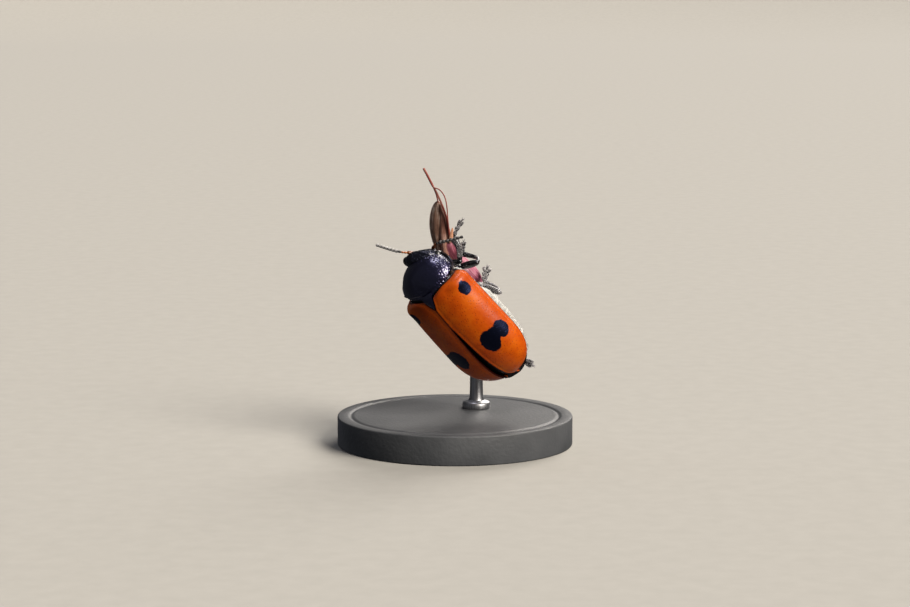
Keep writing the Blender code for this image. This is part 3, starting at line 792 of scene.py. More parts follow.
def case_point(side, along, across):
    """A point of one wing case: its arch with a shoulder callus, beads and a rolled base."""
    behind, turn, seam_turn, half_width, height = case_spot(along, across)
    y = math.cos(turn) ** (2.0 / CASE_ARCH) * half_width
    z = max(math.sin(turn), 0.0) ** (2.0 / CASE_ARCH) * height
    from_seam = (seam_turn - turn) * 1.9
    from_rim = turn * 1.75
    lift = 0.070 * hump(math.hypot(behind - 0.42, y - 1.74), 0.34)
    lift -= 0.030 * hump(math.hypot(behind - 0.36, y - 1.15), 0.28)
    lift += 0.010 * eased(1.0 - from_seam / 0.09) - 0.005 * hump(from_seam - 0.13, 0.04)
    lift += 0.022 * eased(1.0 - from_rim / 0.07) - 0.018 * hump(from_rim - 0.12, 0.04)
    rolled = clamp(1.0 - (behind - base_line(y)) / 0.18)
    tuck = 1.0 - 0.11 * (1.0 - math.sqrt(max(1.0 - rolled * rolled, 0.0)))
    y = (y + lift * math.cos(turn)) * tuck
    z = (z + lift * math.sin(turn)) * tuck
    return Vector((-behind, side * y, z))


def case_outline_shade(along, across):
    """Where painted shade darkens a wing case: 1 on its outline, 0 from a few hundredths of a
    millimetre inside it.
    """
    behind, turn, seam_turn = case_spot(along, across)[:3]
    nearest = min((seam_turn - turn) * 1.9, turn * 1.75, behind * 1.4)
    return eased(1.0 - nearest / 0.035)


def folded_rim(piece, steps, test, centre):
    """Extrude the open edges that pass a test, step by step: (shift, resize) about a centre."""
    picked(piece, "edges", lambda edge: edge.is_boundary and all(test(v.co) for v in edge.verts))
    for shift, size in steps:
        bpy.ops.mesh.extrude_edges_move(TRANSFORM_OT_translate={"value": shift})
        bpy.ops.transform.resize(value=size, center_override=centre)
    bpy.ops.mesh.select_mode(type="VERT")
    bpy.ops.object.mode_set(mode="OBJECT")


def wing_case(side, name, node):
    """One wing case: a curved sheet with a callus, beads and a rim folded under its margin."""
    piece = sheet(name, 96, 52, lambda a, b: case_point(side, a, b),
                  outward=lambda c: Vector((0.0, c.y, c.z)), edge=case_outline_shade)
    fold = [((0.0, 0.0, -0.035), (0.995, 0.985, 1.0)), ((0.0, 0.0, -0.01), (0.985, 0.93, 1.0))]
    folded_rim(piece, fold, lambda c: c.z < 0.035 and abs(c.y) > 0.6, (-3.3, 0.0, 0.0))
    thickened(piece, CASE_WALL)
    rounded(piece, 0.025)
    return shown(piece, BEETLE, ORANGE, "wing_case_orange", node)


def scutellum():
    """The small triangular shield between the wing cases."""
    def law(along, across):
        behind = -0.10 + along * (SCUTELLUM_LENGTH + 0.04)
        half = SCUTELLUM_HALF * (1.0 - along ** 1.25) ** 0.92
        lean = 2.0 * across - 1.0
        y = lean * half
        share = clamp(behind / CASE_LENGTH)
        arch = (1.0 - (abs(y) / case_half_width(share)) ** CASE_ARCH) ** (1.0 / CASE_ARCH)
        dome = 0.045 * (1.0 - lean ** 2) * math.sin(math.pi * clamp(along * 0.9 + 0.1))
        dip = 0.10 * clamp(1.0 - (behind + 0.10) / 0.22) ** 2
        return Vector((-behind, y, case_height(share) * arch + 0.012 + dome - dip))
    piece = sheet("scutellum_shield", 44, 40, law,
                  outward=lambda c: Vector((0.0, 0.0, 1.0)), edge=lambda a, b: 0.5)
    punctured(piece, spacing=0.085, reach=0.040, depth=0.014, sparse=0.0, ripple=0.006, seed=6)
    thickened(piece, 0.12)
    rounded(piece, 0.02)
    return shown(piece, BEETLE, BLACK_SHIELD, "black_cuticle", "scutellum")


# ------------------------------------------------------------------ trunk

def silvery(piece, density):
    """Mark how silvered each point of a skin is."""
    spots = np.empty(len(piece.data.vertices) * 3)
    piece.data.vertices.foreach_get("co", spots)
    return marked(piece, "down", density(spots.reshape(-1, 3)))


RING_JOINS = (3.62, 4.34, 4.98, 5.62, 6.30)      # where the belly rings meet, behind the base
PLATE_JOINS = (0.72,)                            # and the breast plates


def trunk_relief(behind, turn):
    """Radial change of the underside: joins between rings, and each ring's raised hind edge."""
    relief = 0.0
    for join in RING_JOINS + PLATE_JOINS:
        relief -= 0.024 * hump(behind - join, 0.04)
        relief += 0.012 * clamp(1.0 - (join - behind) / 0.5) * (behind < join)
    if behind < BREAST_LENGTH:
        relief -= 0.022 * hump(abs(turn) - math.pi / 2.0, 0.05) * eased((behind - 0.8) / 0.3)
        low_side = min(abs(turn), math.pi - abs(turn))
        relief -= 0.016 * hump(low_side - 0.50, 0.035) * eased((behind - 0.5) / 0.3)
    return relief


def trunk_point(behind, turn):
    """A point of the trunk: flat-lying back under the wing cases, rounded belly."""
    case_share = clamp(behind / CASE_LENGTH)
    if turn >= 0.0:
        inset = CASE_WALL + 0.16
        inside = clamp(case_share, 0.0, 0.97)
        tail = clamp((behind - 6.1) / 0.85)
        half_width = max(case_half_width(inside) - inset, 0.05) * (1.0 - 0.30 * tail)
        height = max(case_height(inside) - inset, 0.12) * (1.0 - 0.55 * tail)
        y = signed_power(math.cos(turn), 2.0 / CASE_ARCH) * half_width
        z = max(math.sin(turn), 0.0) ** (2.0 / CASE_ARCH) * height - 0.03
        return y, z
    share = clamp(behind / TRUNK_LENGTH)
    taper = math.sqrt(1.0 - clamp((share - 0.42) / 0.60) ** 1.9)
    front = 1.0 - 0.22 * clamp((0.16 - share) / 0.16) ** 2
    inset = TRUNK_INSET + 0.11 * clamp((share - 0.5) / 0.4) ** 2
    inset += 0.30 * (1.0 - eased((behind - 1.85) / 0.6))
    half_width = (case_half_width(share * 0.985) - inset) * front
    relief = 1.0 + trunk_relief(behind, turn)
    y = signed_power(math.cos(turn), 0.9) * half_width * relief
    z = -abs(math.sin(turn)) ** 0.9 * TRUNK_DEPTH * taper * front * relief - 0.05
    return y, z


def trunk_piece(name, start, end, node):
    """A closed length of the trunk, from start to end behind the wing-case base."""
    def law(along, turn):
        behind = start + (end - start) * (1.0 - math.cos(along * math.pi)) / 2.0
        size = clamp(math.sin(along * math.pi) * 5.0) ** 0.5
        y, z = trunk_point(behind, turn)
        return Vector((-behind, y * size, (z + 0.4) * size - 0.4))
    piece = silvery(ball(name, 64, 96, law), silvered)
    return shown(unwrapped(piece), BEETLE, BLACK_TRUNK, "black_cuticle", node)


# ------------------------------------------------------------------ prothorax

def collar_turned(point):
    """A point of the prothorax, turned a little to the beetle's right."""
    return COLLAR_AT + Matrix.Rotation(-COLLAR_TURN, 3, "Z") @ (point - COLLAR_AT)


def collar_frame(share):
    """Middle and upward direction of the prothorax at a share of its length from the base."""
    course = Vector((math.cos(COLLAR_DROP), 0.0, -math.sin(COLLAR_DROP)))
    centre = COLLAR_AT + course * COLLAR_RUN * share
    lean = COLLAR_TILT * share
    return centre, Vector((math.sin(lean), 0.0, math.cos(lean)))


def collar_half_width(share):
    """Half-width of the prothorax at a share of its length."""
    hind = 0.06 * clamp((0.4 - share) / 0.4) ** 2 + 0.07 * clamp((0.12 - share) / 0.12) ** 2
    front = 0.36 * clamp((share - 0.32) / 0.68) ** 2
    return COLLAR_HALF_WIDTH * (1.0 - hind - front)


def collar_height(share):
    """Height of the neck shield's arch at a share of its length."""
    hind = 0.20 * clamp((0.5 - share) / 0.5) ** 2
    front = 0.42 * clamp((share - 0.5) / 0.5) ** 2
    return COLLAR_HEIGHT * (1.0 - hind - front)


def collar_lie(along, across):
    """Share of the length, and place from one side margin, -1, to the other, 1."""
    share = along - 0.095 * math.sin(2.0 * math.pi * along)
    return share, 2.0 * across - 1.0


def collar_point(along, across):
    """A point of the neck shield: an arched disc with beads and a flat rim at the sides."""
    share, lean = collar_lie(along, across)
    reach = abs(lean)
    centre, up = collar_frame(share)
    width = collar_half_width(share)
    inner = width - COLLAR_BRIM
    from_hind = share * COLLAR_RUN
    from_front = (1.0 - share) * COLLAR_RUN
    lift = 0.018 * eased(1.0 - from_hind / 0.07) - 0.022 * hump(from_hind - 0.12, 0.035)
    lift += 0.012 * eased(1.0 - from_front / 0.05) - 0.012 * hump(from_front - 0.09, 0.03)
    disc = 0.88
    if reach <= disc:
        turn = reach / disc * math.pi / 2.0
        y = math.sin(turn) ** 0.95 * inner
        z = math.cos(turn) ** 0.95 * collar_height(share) + lift
    else:
        part = (reach - disc) / (1.0 - disc)
        y = inner + part * COLLAR_BRIM
        z = 0.045 * part ** 2 + 0.028 * hump(part - 0.88, 0.12)
    back_lobe = -0.27 * hump(y, 0.62) * (1.0 - share) ** 3
    corner = 0.17 * clamp((y - 1.15) / 0.6) ** 2 * (1.0 - share) ** 4
    place = centre + up * z + Vector((back_lobe + corner, math.copysign(y, lean), 0.0))
    return collar_turned(place)


def collar_edge(along, across):
    """Where the punctures are close: along the base, the sides and the front."""
    share, lean = collar_lie(along, across)
    base = eased(1.0 - share / 0.24)
    sides = eased((abs(lean) - 0.42) / 0.22)
    front = 0.8 * eased(1.0 - (1.0 - share) / 0.20)
    return max(base, sides, front) * (1.0 - collar_brim(along, across))


def punctured(piece, spacing, reach, depth, sparse, ripple, seed):
    """Press small round pits into a sheet, close where its edge mark is 1 and sparse elsewhere.

    They stand spacing apart, and reach and depth are one pit's radius and depth. Between them
    the surface rolls by ripple, so that its highlights break up.
    """
    count = len(piece.data.vertices)
    spots, outward = np.empty(count * 3), np.empty(count * 3)
    marks = np.empty(count, np.float32)
    piece.data.vertices.foreach_get("co", spots)
    piece.data.vertices.foreach_get("normal", outward)
    piece.data.attributes["edge"].data.foreach_get("value", marks)
    spots, outward = spots.reshape(-1, 3), outward.reshape(-1, 3)
    rng = np.random.default_rng(seed)
    chance = rng.random(count)
    pressed = np.zeros(count)
    taken = []
    for index in rng.permutation(count):
        if chance[index] > max(sparse, marks[index]):
            continue
        if taken and np.linalg.norm(spots[taken] - spots[index], axis=1).min() < spacing:
            continue
        taken.append(index)
        away = np.linalg.norm(spots - spots[index], axis=1) / (reach * rng.uniform(0.75, 1.15))
        pressed = np.maximum(pressed, np.clip(1.0 - away ** 2, 0.0, 1.0) ** 2)
    rolls = np.array([noise.noise(Vector(spot) / 0.17) + 0.5 * noise.noise(Vector(spot) / 0.08)
                      for spot in spots])
    swells = np.array([noise.noise(Vector(spot) / 0.55) for spot in spots])
    sunk = depth * pressed + ripple * (rolls * (0.25 + 0.75 * marks) + 1.8 * swells)
    spots -= outward * sunk[:, None]
    piece.data.vertices.foreach_set("co", spots.ravel())
    piece.data.update()
    return piece


def collar_brim(along, across):
    """1 on the flat rim along the side margins."""
    return eased((abs(collar_lie(along, across)[1]) - 0.87) / 0.04)


def pronotum():
    """The polished neck shield."""
    piece = sheet("pronotum_shield", 110, 168, collar_point,
                  outward=lambda c: c - Vector((0.6, 0.0, -0.6)),
                  edge=collar_edge, brim=collar_brim)
    punctured(piece, spacing=0.155, reach=0.066, depth=0.024, sparse=0.003, ripple=0.012, seed=5)
    thickened(piece, 0.07)
    rounded(piece, 0.02)
    return shown(piece, BEETLE, BLACK_SHIELD, "black_cuticle", "pronotum")


def prosternum():
    """Underside of the prothorax, with the rounded plate between the first legs."""
    def law(along, turn):
        share = 0.03 + 0.94 * (1.0 - math.cos(along * math.pi)) / 2.0
        size = clamp(math.sin(along * math.pi) * 4.0) ** 0.5
        centre, up = collar_frame(share)
        width = collar_half_width(share) - COLLAR_BRIM * 0.8
        y = math.cos(turn) * width
        if turn >= 0.0:
            z = math.sin(turn) * collar_height(share) * 0.3
        else:
            z = math.sin(turn) * COLLAR_DEPTH - 0.05 * hump(abs(turn) - math.pi / 2.0, 0.16)
            z += 0.05 * hump(abs(abs(turn) - math.pi / 2.0) - 0.45, 0.2)
        return collar_turned(centre + Vector((0.0, y * size, 0.0)) + up * (z * size - 0.02))
    piece = silvery(unwrapped(ball("prosternum_plate", 40, 64, law)), silvered)
    return shown(piece, BEETLE, BLACK_TRUNK, "black_cuticle", "prosternum")


# ------------------------------------------------------------------ head

def head_capsule():
    """Flat-faced capsule, with a broad dent above the mouth and rims where the feelers stand."""
    def law(along, turn):
        height = math.cos(along * math.pi)
        ring = math.sin(along * math.pi)
        narrow = 1.0 - 0.22 * clamp(-height) ** 1.5
        x = signed_power(math.cos(turn), 0.8) * ring ** 0.7 * HEAD_HALF.x
        y = signed_power(math.sin(turn), 0.8) * ring ** 0.7 * HEAD_HALF.y * narrow
        z = height * HEAD_HALF.z
        if x > 0.0:
            x -= 0.09 * hump(math.hypot(y, z - 0.12), 0.34)
            x -= 0.05 * hump(z + 0.42, 0.07) * hump(y, 0.5)
            x += 0.035 * hump(math.hypot(abs(y) - 0.52, z - 0.08), 0.13)
        return Vector((x, y, z))
    capsule = ball("head_capsule", 72, 96, law)
    marked(capsule, "edge", [1.0] * len(capsule.data.vertices))
    return punctured(capsule, spacing=0.16, reach=0.075, depth=0.030, sparse=0.0, ripple=0.020,
                     seed=9)


def compound_eye(side, name, node):
    """Bean-shaped eye, notched towards the feeler."""
    def law(along, turn):
        height = math.cos(along * math.pi)
        ring = math.sin(along * math.pi)
        notch = 1.0 - 0.20 * hump(height, 0.35) * clamp(math.cos(turn)) ** 2
        return Vector((
            EYE_AT.x + EYE_HALF.x * ring * math.cos(turn) * notch,
            side * EYE_AT.y + EYE_HALF.y * ring * math.sin(turn),
            EYE_AT.z + EYE_HALF.z * height,
        ))
    piece = ball(name, 40, 48, law)
    piece.data.transform(HEAD)
    return shown(piece, BEETLE, EYE, "eye_black", node)


def head_parts():
    """Capsule and mouthparts: lip plates, jaws, palps and chin."""
    capsule = head_capsule()
    capsule.data.transform(HEAD)
    shown(unwrapped(capsule), BEETLE, BLACK_HEAD, "black_cuticle", "head")

    bar = drawn_out("bar", [(0.0, 0.80, 0.60), (0.06, 1.0, 1.0), (0.5, 0.96, 1.0, 0, 0.1),
                            (0.9, 0.86, 0.8), (1.0, 0.66, 0.4)], sides=12, levels=2)
    jaw = drawn_out("jaw", [(0.0, 0.7, 0.8), (0.1, 1.0, 1.0, 0.05, 0), (0.45, 0.86, 0.9, 0.30, 0),
                            (0.75, 0.52, 0.6, 0.20, 0), (0.95, 0.22, 0.3, -0.20, 0),
                            (1.0, 0.08, 0.1, -0.34, 0)], sides=10, levels=2)
    bead = drawn_out("bead", [(0.0, 0.40, 0.40), (0.12, 0.72, 0.72), (0.6, 1.0, 1.0),
                              (0.9, 0.8, 0.8), (1.0, 0.4, 0.4)], sides=8, levels=1)
    parts = [
        laid(bar, "clypeus", (0.50, 0.0, -0.44), (0.46, 0.0, -0.78), 0.50, 0.09, up=(1, 0, 0)),
        laid(bar, "labrum", (0.47, 0.0, -0.74), (0.42, 0.0, -1.02), 0.34, 0.07, up=(1, 0, 0)),
    ]
    for side in (-1.0, 1.0):
        parts.append(laid(jaw, "mandible", (0.30, side * 0.36, -0.80), (0.36, side * 0.05, -1.44),
                          side * 0.17, 0.13, up=(1, 0, 0)))
        palp = [(0.20, side * 0.40, -0.92), (0.34, side * 0.52, -1.12), (0.46, side * 0.54, -1.34),
                (0.50, side * 0.44, -1.54)]
        for index, (start, end) in enumerate(zip(palp, palp[1:])):
            parts.append(laid(bead, "palp", start, end, 0.065 + 0.008 * index, 0.065))
        lip = [(0.05, side * 0.16, -1.00), (0.18, side * 0.20, -1.24), (0.26, side * 0.16, -1.42)]
        for start, end in zip(lip, lip[1:]):
            parts.append(laid(bead, "lip_palp", start, end, 0.05, 0.05, up=(1, 0, 0)))
    parts.append(laid(bar, "chin", (-0.02, 0.0, -0.80), (0.10, 0.0, -1.20), 0.36, 0.14,
                      up=(1, 0, 0)))
    mouth = made_whole(joined("mouthparts", parts))
    mouth.data.transform(HEAD)
    shown(mouth, BEETLE, BLACK_HEAD, "black_cuticle", "mandibles")
    dropped(bar, jaw, bead)


# Feeler joints from the head outwards: length and half width, mm; after the first four they
# are saw-toothed
FEELER_JOINTS = [(0.44, 0.125), (0.15, 0.085), (0.16, 0.078), (0.17, 0.086)]
PLAIN_JOINTS = len(FEELER_JOINTS)
FEELER_JOINTS += [(0.196, 0.128 - 0.004 * tooth) for tooth in range(7)]

# How pale each feeler's outer joints are painted: partly silver down, partly a painted highlight on
# each joint, strong on the left feeler as if lit and faint on the right as if in shade
FEELER_DOWN_AND_GLINT = {"left": 0.85, "right": 0.10}
FEELER_STEPS = 300                 # points that each feeler's line is measured at


def feelers():
    """Eleven joints each: a stout first, three small ones, and seven saw-toothed ones."""
    plain = drawn_out("plain_joint", [(0.0, 0.35, 0.35), (0.15, 0.70, 0.70), (0.7, 1.0, 1.0),
                                      (0.95, 0.85, 0.85), (1.0, 0.5, 0.5)], sides=10, levels=2)
    tooth = drawn_out("tooth_joint", [(0.0, 0.50, 0.56), (0.12, 0.60, 0.66, 0.02, 0),
                                      (0.50, 0.88, 0.94, 0.16, 0), (0.80, 1.06, 1.0, 0.30, 0),
                                      (0.94, 0.86, 0.8, 0.22, 0), (1.0, 0.50, 0.52, 0.06, 0)],
                      sides=10, levels=2)
    up = HEAD.to_3x3() @ Vector((1.0, 0.0, 0.4))
    for name, points in FEELERS.items():
        side = 1.0 if name == "left" else -1.0
        root = HEAD @ Vector((FEELER_ROOT.x, side * FEELER_ROOT.y, FEELER_ROOT.z))
        line = [root] + [Vector(point) for point in points]
        spots = [point_along(line, step / FEELER_STEPS)[0] for step in range(FEELER_STEPS + 1)]
        run = [0.0]
        for here, there in zip(spots, spots[1:]):
            run.append(run[-1] + (there - here).length)
        stretch = run[-1] / sum(length for length, wide in FEELER_JOINTS)
        parts, done = [], 0.0
        for index, (length, wide) in enumerate(FEELER_JOINTS):
            toothed = index >= PLAIN_JOINTS
            start = spots[int(np.searchsorted(run, done))]
            done = min(done + length * stretch, run[-1])
            end = spots[min(int(np.searchsorted(run, done)), FEELER_STEPS)]
            part = laid(tooth if toothed else plain, "joint", start, start + (end - start) * 1.03,
                        -side * wide if toothed else wide, wide * 0.9, up=up)
            marked(part, "along", [(index + 0.5) / len(FEELER_JOINTS)] * len(part.data.vertices))
            # Painted highlight: a pale band across the middle of each saw-toothed joint stands in
            # for its glint, together with the silver down
            silver = FEELER_DOWN_AND_GLINT[name] if toothed else 0.0
            axis = (end - start) / (end - start).length_squared
            marked(part, "down", [silver * hump((vertex.co - start).dot(axis) - 0.62, 0.42)
                                  for vertex in part.data.vertices])
            parts.append(part)
        piece = made_whole(joined("feeler_" + name, parts))
        shown(piece, BEETLE, FEELER, "antenna_brown_black", "antenna_" + name)
    dropped(plain, tooth)


# ------------------------------------------------------------------ legs

# Half widths of the femur, the tibia and the foot, mm
LEG_SIZES = {
    "front": (0.20, 0.215, 0.160),
    "middle": (0.225, 0.150, 0.150),
    "hind": (0.200, 0.160, 0.250),
}


# Leg joints, each along X at unit length and unit half-width: sides, smoothing and stations
LEG_JOINTS = {
    "knob": (12, 2, [
        (0.0, 0.40, 0.40), (0.12, 0.78, 0.78), (0.4, 1.0, 1.0),
        (0.75, 0.88, 0.88), (1.0, 0.50, 0.50),
    ]),
    "femur": (12, 2, [
        (0.0, 0.30, 0.32), (0.05, 0.60, 0.62), (0.22, 0.88, 0.88, 0, 0.03),
        (0.48, 1.0, 1.0, 0, 0.05), (0.74, 0.90, 0.90, 0, 0.03), (0.90, 0.70, 0.72),
        (0.97, 0.52, 0.54, 0, -0.02), (1.0, 0.24, 0.26, 0, -0.02),
    ]),
    "tibia": (12, 2, [
        (0.0, 0.40, 0.42), (0.03, 0.66, 0.70), (0.10, 0.70, 0.74),
        (0.35, 0.74, 0.76), (0.70, 0.90, 0.86), (0.90, 1.08, 1.0),
        (0.97, 1.12, 1.04), (1.0, 0.84, 0.78),
    ]),
    "heart": (10, 1, [
        (0.0, 0.30, 0.40), (0.10, 0.42, 0.55), (0.50, 0.74, 0.74),
        (0.82, 1.0, 0.80), (0.96, 0.90, 0.60), (1.0, 0.60, 0.34),
    ]),
    "claw_joint": (8, 1, [
        (0.0, 0.26, 0.34), (0.12, 0.36, 0.46), (0.7, 0.52, 0.60),
        (0.94, 0.60, 0.64), (1.0, 0.40, 0.44),
    ]),
    "lobe": (8, 1, [
        (0.0, 0.16, 0.40, 0.10, 0), (0.25, 0.34, 0.62, 0.26, 0), (0.62, 0.46, 0.66, 0.54, 0),
        (0.90, 0.36, 0.50, 0.62, -0.05), (1.0, 0.16, 0.24, 0.62, -0.08),
    ]),
    "claw": (8, 1, [
        (0.0, 0.55, 0.60), (0.30, 0.48, 0.52, 0, 0.25), (0.60, 0.34, 0.40, 0, 0.20),
        (0.85, 0.20, 0.24, 0, -0.25), (1.0, 0.06, 0.08, 0, -0.75),
    ]),
    "spur": (6, 1, [
        (0.0, 0.8, 0.8), (0.5, 0.6, 0.6, 0, 0.1), (1.0, 0.08, 0.08),
    ]),
}


def leg(name, patterns):
    """One leg in one piece: hip, femur, tibia with spurs, four foot joints and two claws."""
    femur, tibia, tarsus = [[Vector(point) for point in part] for part in LEGS[name]]
    thick, thin, wide = LEG_SIZES[name.split("_")[0]]
    out = (femur[1] - femur[0]).normalized()
    socket = femur[0] + Vector((0.0, -math.copysign(0.14, femur[0].y), 0.62))
    parts = [
        laid(patterns["knob"], "hip", socket, femur[0] + (femur[0] - socket) * 0.16, 0.30, 0.30),
        laid(patterns["knob"], "hip_ring", femur[0] - out * 0.10, femur[0] + out * 0.18,
             0.20, 0.20),
        laid(patterns["femur"], "femur", femur[0], femur[1] + out * 0.14, thick, thick),
        bent(patterns["tibia"], "tibia", [femur[1] + (tibia[0] - femur[1]) * 0.35] + tibia[1:],
             thin, thin),
    ]
    tip, toward = point_along(tibia, 1.0)
    side = toward.cross(Vector((0.0, 0.0, 1.0))).normalized()
    for lean in (-1.0, 1.0):
        start = tip + side * lean * thin * 0.7 - toward * 0.05
        parts.append(laid(patterns["spur"], "spur", start,
                          start + (toward + side * lean * 0.4) * 0.15, 0.022, 0.022))

    def foot(share):
        return point_along(tarsus, share)[0]
    parts.append(laid(patterns["heart"], "foot_1", tarsus[0] - toward * 0.04, foot(0.32),
                      wide * 0.82, wide * 0.72))
    parts.append(laid(patterns["heart"], "foot_2", foot(0.28), foot(0.56), wide * 0.95,
                      wide * 0.66))
    middle, last = foot(0.51), foot(0.86)
    for lean in (-1.0, 1.0):
        parts.append(laid(patterns["lobe"], "foot_3", middle, last, wide * 1.10 * lean,
                          wide * 0.62))
    parts.append(laid(patterns["claw_joint"], "foot_4", foot(0.60), foot(0.97), wide * 0.60,
                      wide * 0.60))
    end, course = point_along(tarsus, 0.95)
    side = course.cross(Vector((0.0, 0.0, 1.0))).normalized()
    for lean in (-1.0, 1.0):
        parts.append(laid(patterns["claw"], "claw", end + side * lean * 0.03,
                          end + (course + side * lean * 0.75).normalized() * 0.13, 0.036, 0.036))
    piece = silvery(unwrapped(made_whole(joined("leg_" + name, parts))), leg_density(name))
    nodes = ["leg_" + name + "_" + part for part in ("femur", "tibia", "tarsus")]
    return shown(piece, BEETLE, BLACK_LEG, "black_cuticle", *nodes)


# ------------------------------------------------------------------ silver down

def unwrapped(piece):
    """Unwrap the skin's own shape: the down takes its place on the skin from this."""
    for layer in list(piece.data.uv_layers):
        piece.data.uv_layers.remove(layer)
    piece.data.uv_layers.new(name="skin")
    return edited(piece, (bpy.ops.uv.smart_project,
                          {"angle_limit": math.radians(66.0), "island_margin": 0.01}))


TUFT_PATCH = 0.003                 # size of one tuft's patch on the unwrap
LIST_ALONG = np.array((1.0, 0.731, 0.557))       # slanting, so that no two faces are level


def down_coat(name, skin, count, density, lie, length, width, rise, seed, finish=DOWN):
    """Short hairs lying back over a skin, each a solid sliver of ten triangles.

    density(places) gives each root's chance, lie(places) the way the hairs lie; both take and
    return arrays in the body frame.
    """
    mesh = skin.data
    mesh.calc_loop_triangles()
    total = len(mesh.loop_triangles)
    corners = np.empty(total * 3, np.int32)
    loops = np.empty(total * 3, np.int32)
    mesh.loop_triangles.foreach_get("vertices", corners)
    mesh.loop_triangles.foreach_get("loops", loops)
    spots = np.empty(len(mesh.vertices) * 3, np.float32)
    mesh.attributes["own_mm"].data.foreach_get("vector", spots)
    spots = spots.reshape(-1, 3)[corners].reshape(-1, 3, 3).astype(float)
    lies = np.empty(len(mesh.loops) * 2, np.float32)
    mesh.uv_layers["skin"].data.foreach_get("uv", lies)
    lies = lies.reshape(-1, 2)[loops].reshape(-1, 3, 2)
    # New balls and tubes list their faces in another order each run: here they go by place, so
    # that each run grows the same hairs
    turned = ((spots @ LIST_ALONG).argmin(axis=1)[:, None] + np.arange(3)) % 3
    spots = np.take_along_axis(spots, turned[:, :, None], axis=1)
    listed = (spots.sum(axis=1) @ LIST_ALONG).argsort()
    spots = spots[listed]
    lies = np.take_along_axis(lies, turned[:, :, None], axis=1)[listed]
    facing = np.cross(spots[:, 1] - spots[:, 0], spots[:, 2] - spots[:, 0])
    area = np.linalg.norm(facing, axis=1)
    facing = facing / np.maximum(area, 1e-12)[:, None]

    rng = np.random.default_rng(seed)
    chosen = rng.choice(total, size=count, p=area / area.sum())
    a, b = rng.random(count), rng.random(count)
    over = a + b > 1.0
    a[over], b[over] = 1.0 - a[over], 1.0 - b[over]
    weight = np.stack([1.0 - a - b, a, b], axis=1)[:, :, None]
    root = (spots[chosen] * weight).sum(axis=1)
    patch = (lies[chosen] * weight).sum(axis=1)
    normal = facing[chosen]
    chance = rng.random(count)
    swing = rng.normal(0.0, 0.22, count)
    longer = rng.uniform(0.72, 1.28, count)
    lifted = rise * (1.0 + rng.normal(0.0, 0.3, count))
    kept = chance < density(root)
    root, patch, normal, swing, longer, lifted = [
        part[kept] for part in (root, patch, normal, swing, longer, lifted)]

    course = lie(root)
    course = course - normal * (course * normal).sum(axis=1)[:, None]
    course /= np.maximum(np.linalg.norm(course, axis=1), 1e-9)[:, None]
    beside = np.cross(normal, course)
    course = course * np.cos(swing)[:, None] + beside * np.sin(swing)[:, None]
    beside = np.cross(normal, course)
    reach = (length * longer)[:, None]
    lean_out = np.clip(lifted, 0.05, 1.2)[:, None]
    base = root - normal * width * 0.8
    middle = root + course * reach * 0.5 + normal * reach * 0.5 * np.tan(lean_out)
    tip = root + course * reach + normal * reach * 0.72 * np.tan(lean_out)
    half = width / 2.0
    ring = []
    for centre, size in ((base, 1.0), (middle, 0.8)):
        ring += [centre + beside * half * size, centre - beside * half * size,
                 centre + normal * half * size * 1.2]
    ring.append(tip)
    made = len(root)
    points = np.stack(ring, axis=1).reshape(-1, 3)
    # Faces of one sliver: three sides below, three at the tip and the hidden root
    pattern = ((0, 1, 4, 3), (1, 2, 5, 4), (2, 0, 3, 5), (3, 4, 6), (4, 5, 6), (5, 3, 6), (0, 2, 1))
    starts = (np.arange(made) * 7)[:, None]
    quads = np.concatenate([starts + np.array(face) for face in pattern[:3]], axis=0)
    thirds = np.concatenate([starts + np.array(face) for face in pattern[3:]], axis=0)
    data = bpy.data.meshes.new(name)
    data.from_pydata(points.tolist(), [], quads.tolist() + thirds.tolist())
    spread = np.array([(0.1, 0.0), (0.9, 0.0), (0.5, 0.2), (0.2, 0.5), (0.8, 0.5), (0.5, 0.6),
                       (0.5, 1.0)])
    corner_patch = (patch[:, None, :] + spread[None, :, :] * TUFT_PATCH).reshape(-1, 2)
    order = np.empty(len(data.loops), np.int32)
    data.loops.foreach_get("vertex_index", order)
    layer = data.uv_layers.new(name="OFBake")
    layer.data.foreach_set("uv", np.clip(corner_patch[order], 0.0, 1.0).astype(np.float32).ravel())
    coat = bpy.data.objects.new(name, data)
    bpy.context.scene.collection.objects.link(coat)
    return shown(coat, BEETLE, finish, None)


def ramp(values, start, over):
    """0 up to start, then rising to 1 over a distance."""
    return np.clip((values - start) / over, 0.0, 1.0)


def silvered(place):
    """Where the underside is silvered: white on the flank behind the shoulder, greyer below."""
    x, y, z = place[:, 0], np.abs(place[:, 1]), place[:, 2]
    flank = ramp(-x, 1.1, 0.9) * ramp(x, -6.3, 0.5)
    flank *= ramp(-z, 0.04, 0.06) * (y > 0.4)
    front = ramp(x, -1.9, 1.5) * ramp(y, 0.35, 0.6)
    belly = 0.70 * ramp(-z, 0.45, 0.3) * (1.0 - 0.35 * front) * ramp(-x, -1.2, 0.4)
    shoulder = ramp(x, -1.1, 0.5) * ramp(y, 0.8, 0.3) * ramp(z, -1.35, 0.5)
    return np.maximum(flank, belly) * (1.0 - shoulder)


def backwards(place):
    """Hairs lie towards the tail, and a little downwards on the flanks."""
    course = np.zeros_like(place)
    course[:, 0] = -1.0
    course[:, 2] = -0.35
    return course


def leg_lie(name):
    """Hairs lie along each leg, away from the body."""
    runs = []
    for part in LEGS[name]:
        for start, end in zip(part, part[1:]):
            runs.append((np.array(start), np.array(end)))

    def lie(place):
        best = np.full(len(place), 1e9)
        course = np.zeros_like(place)
        for start, end in runs:
            axis = end - start
            share = np.clip(((place - start) @ axis) / (axis @ axis), 0, 1)
            away = np.linalg.norm(place - (start + share[:, None] * axis), axis=1)
            nearer = away < best
            best[nearer] = away[nearer]
            course[nearer] = axis / np.linalg.norm(axis)
        return course
    return lie


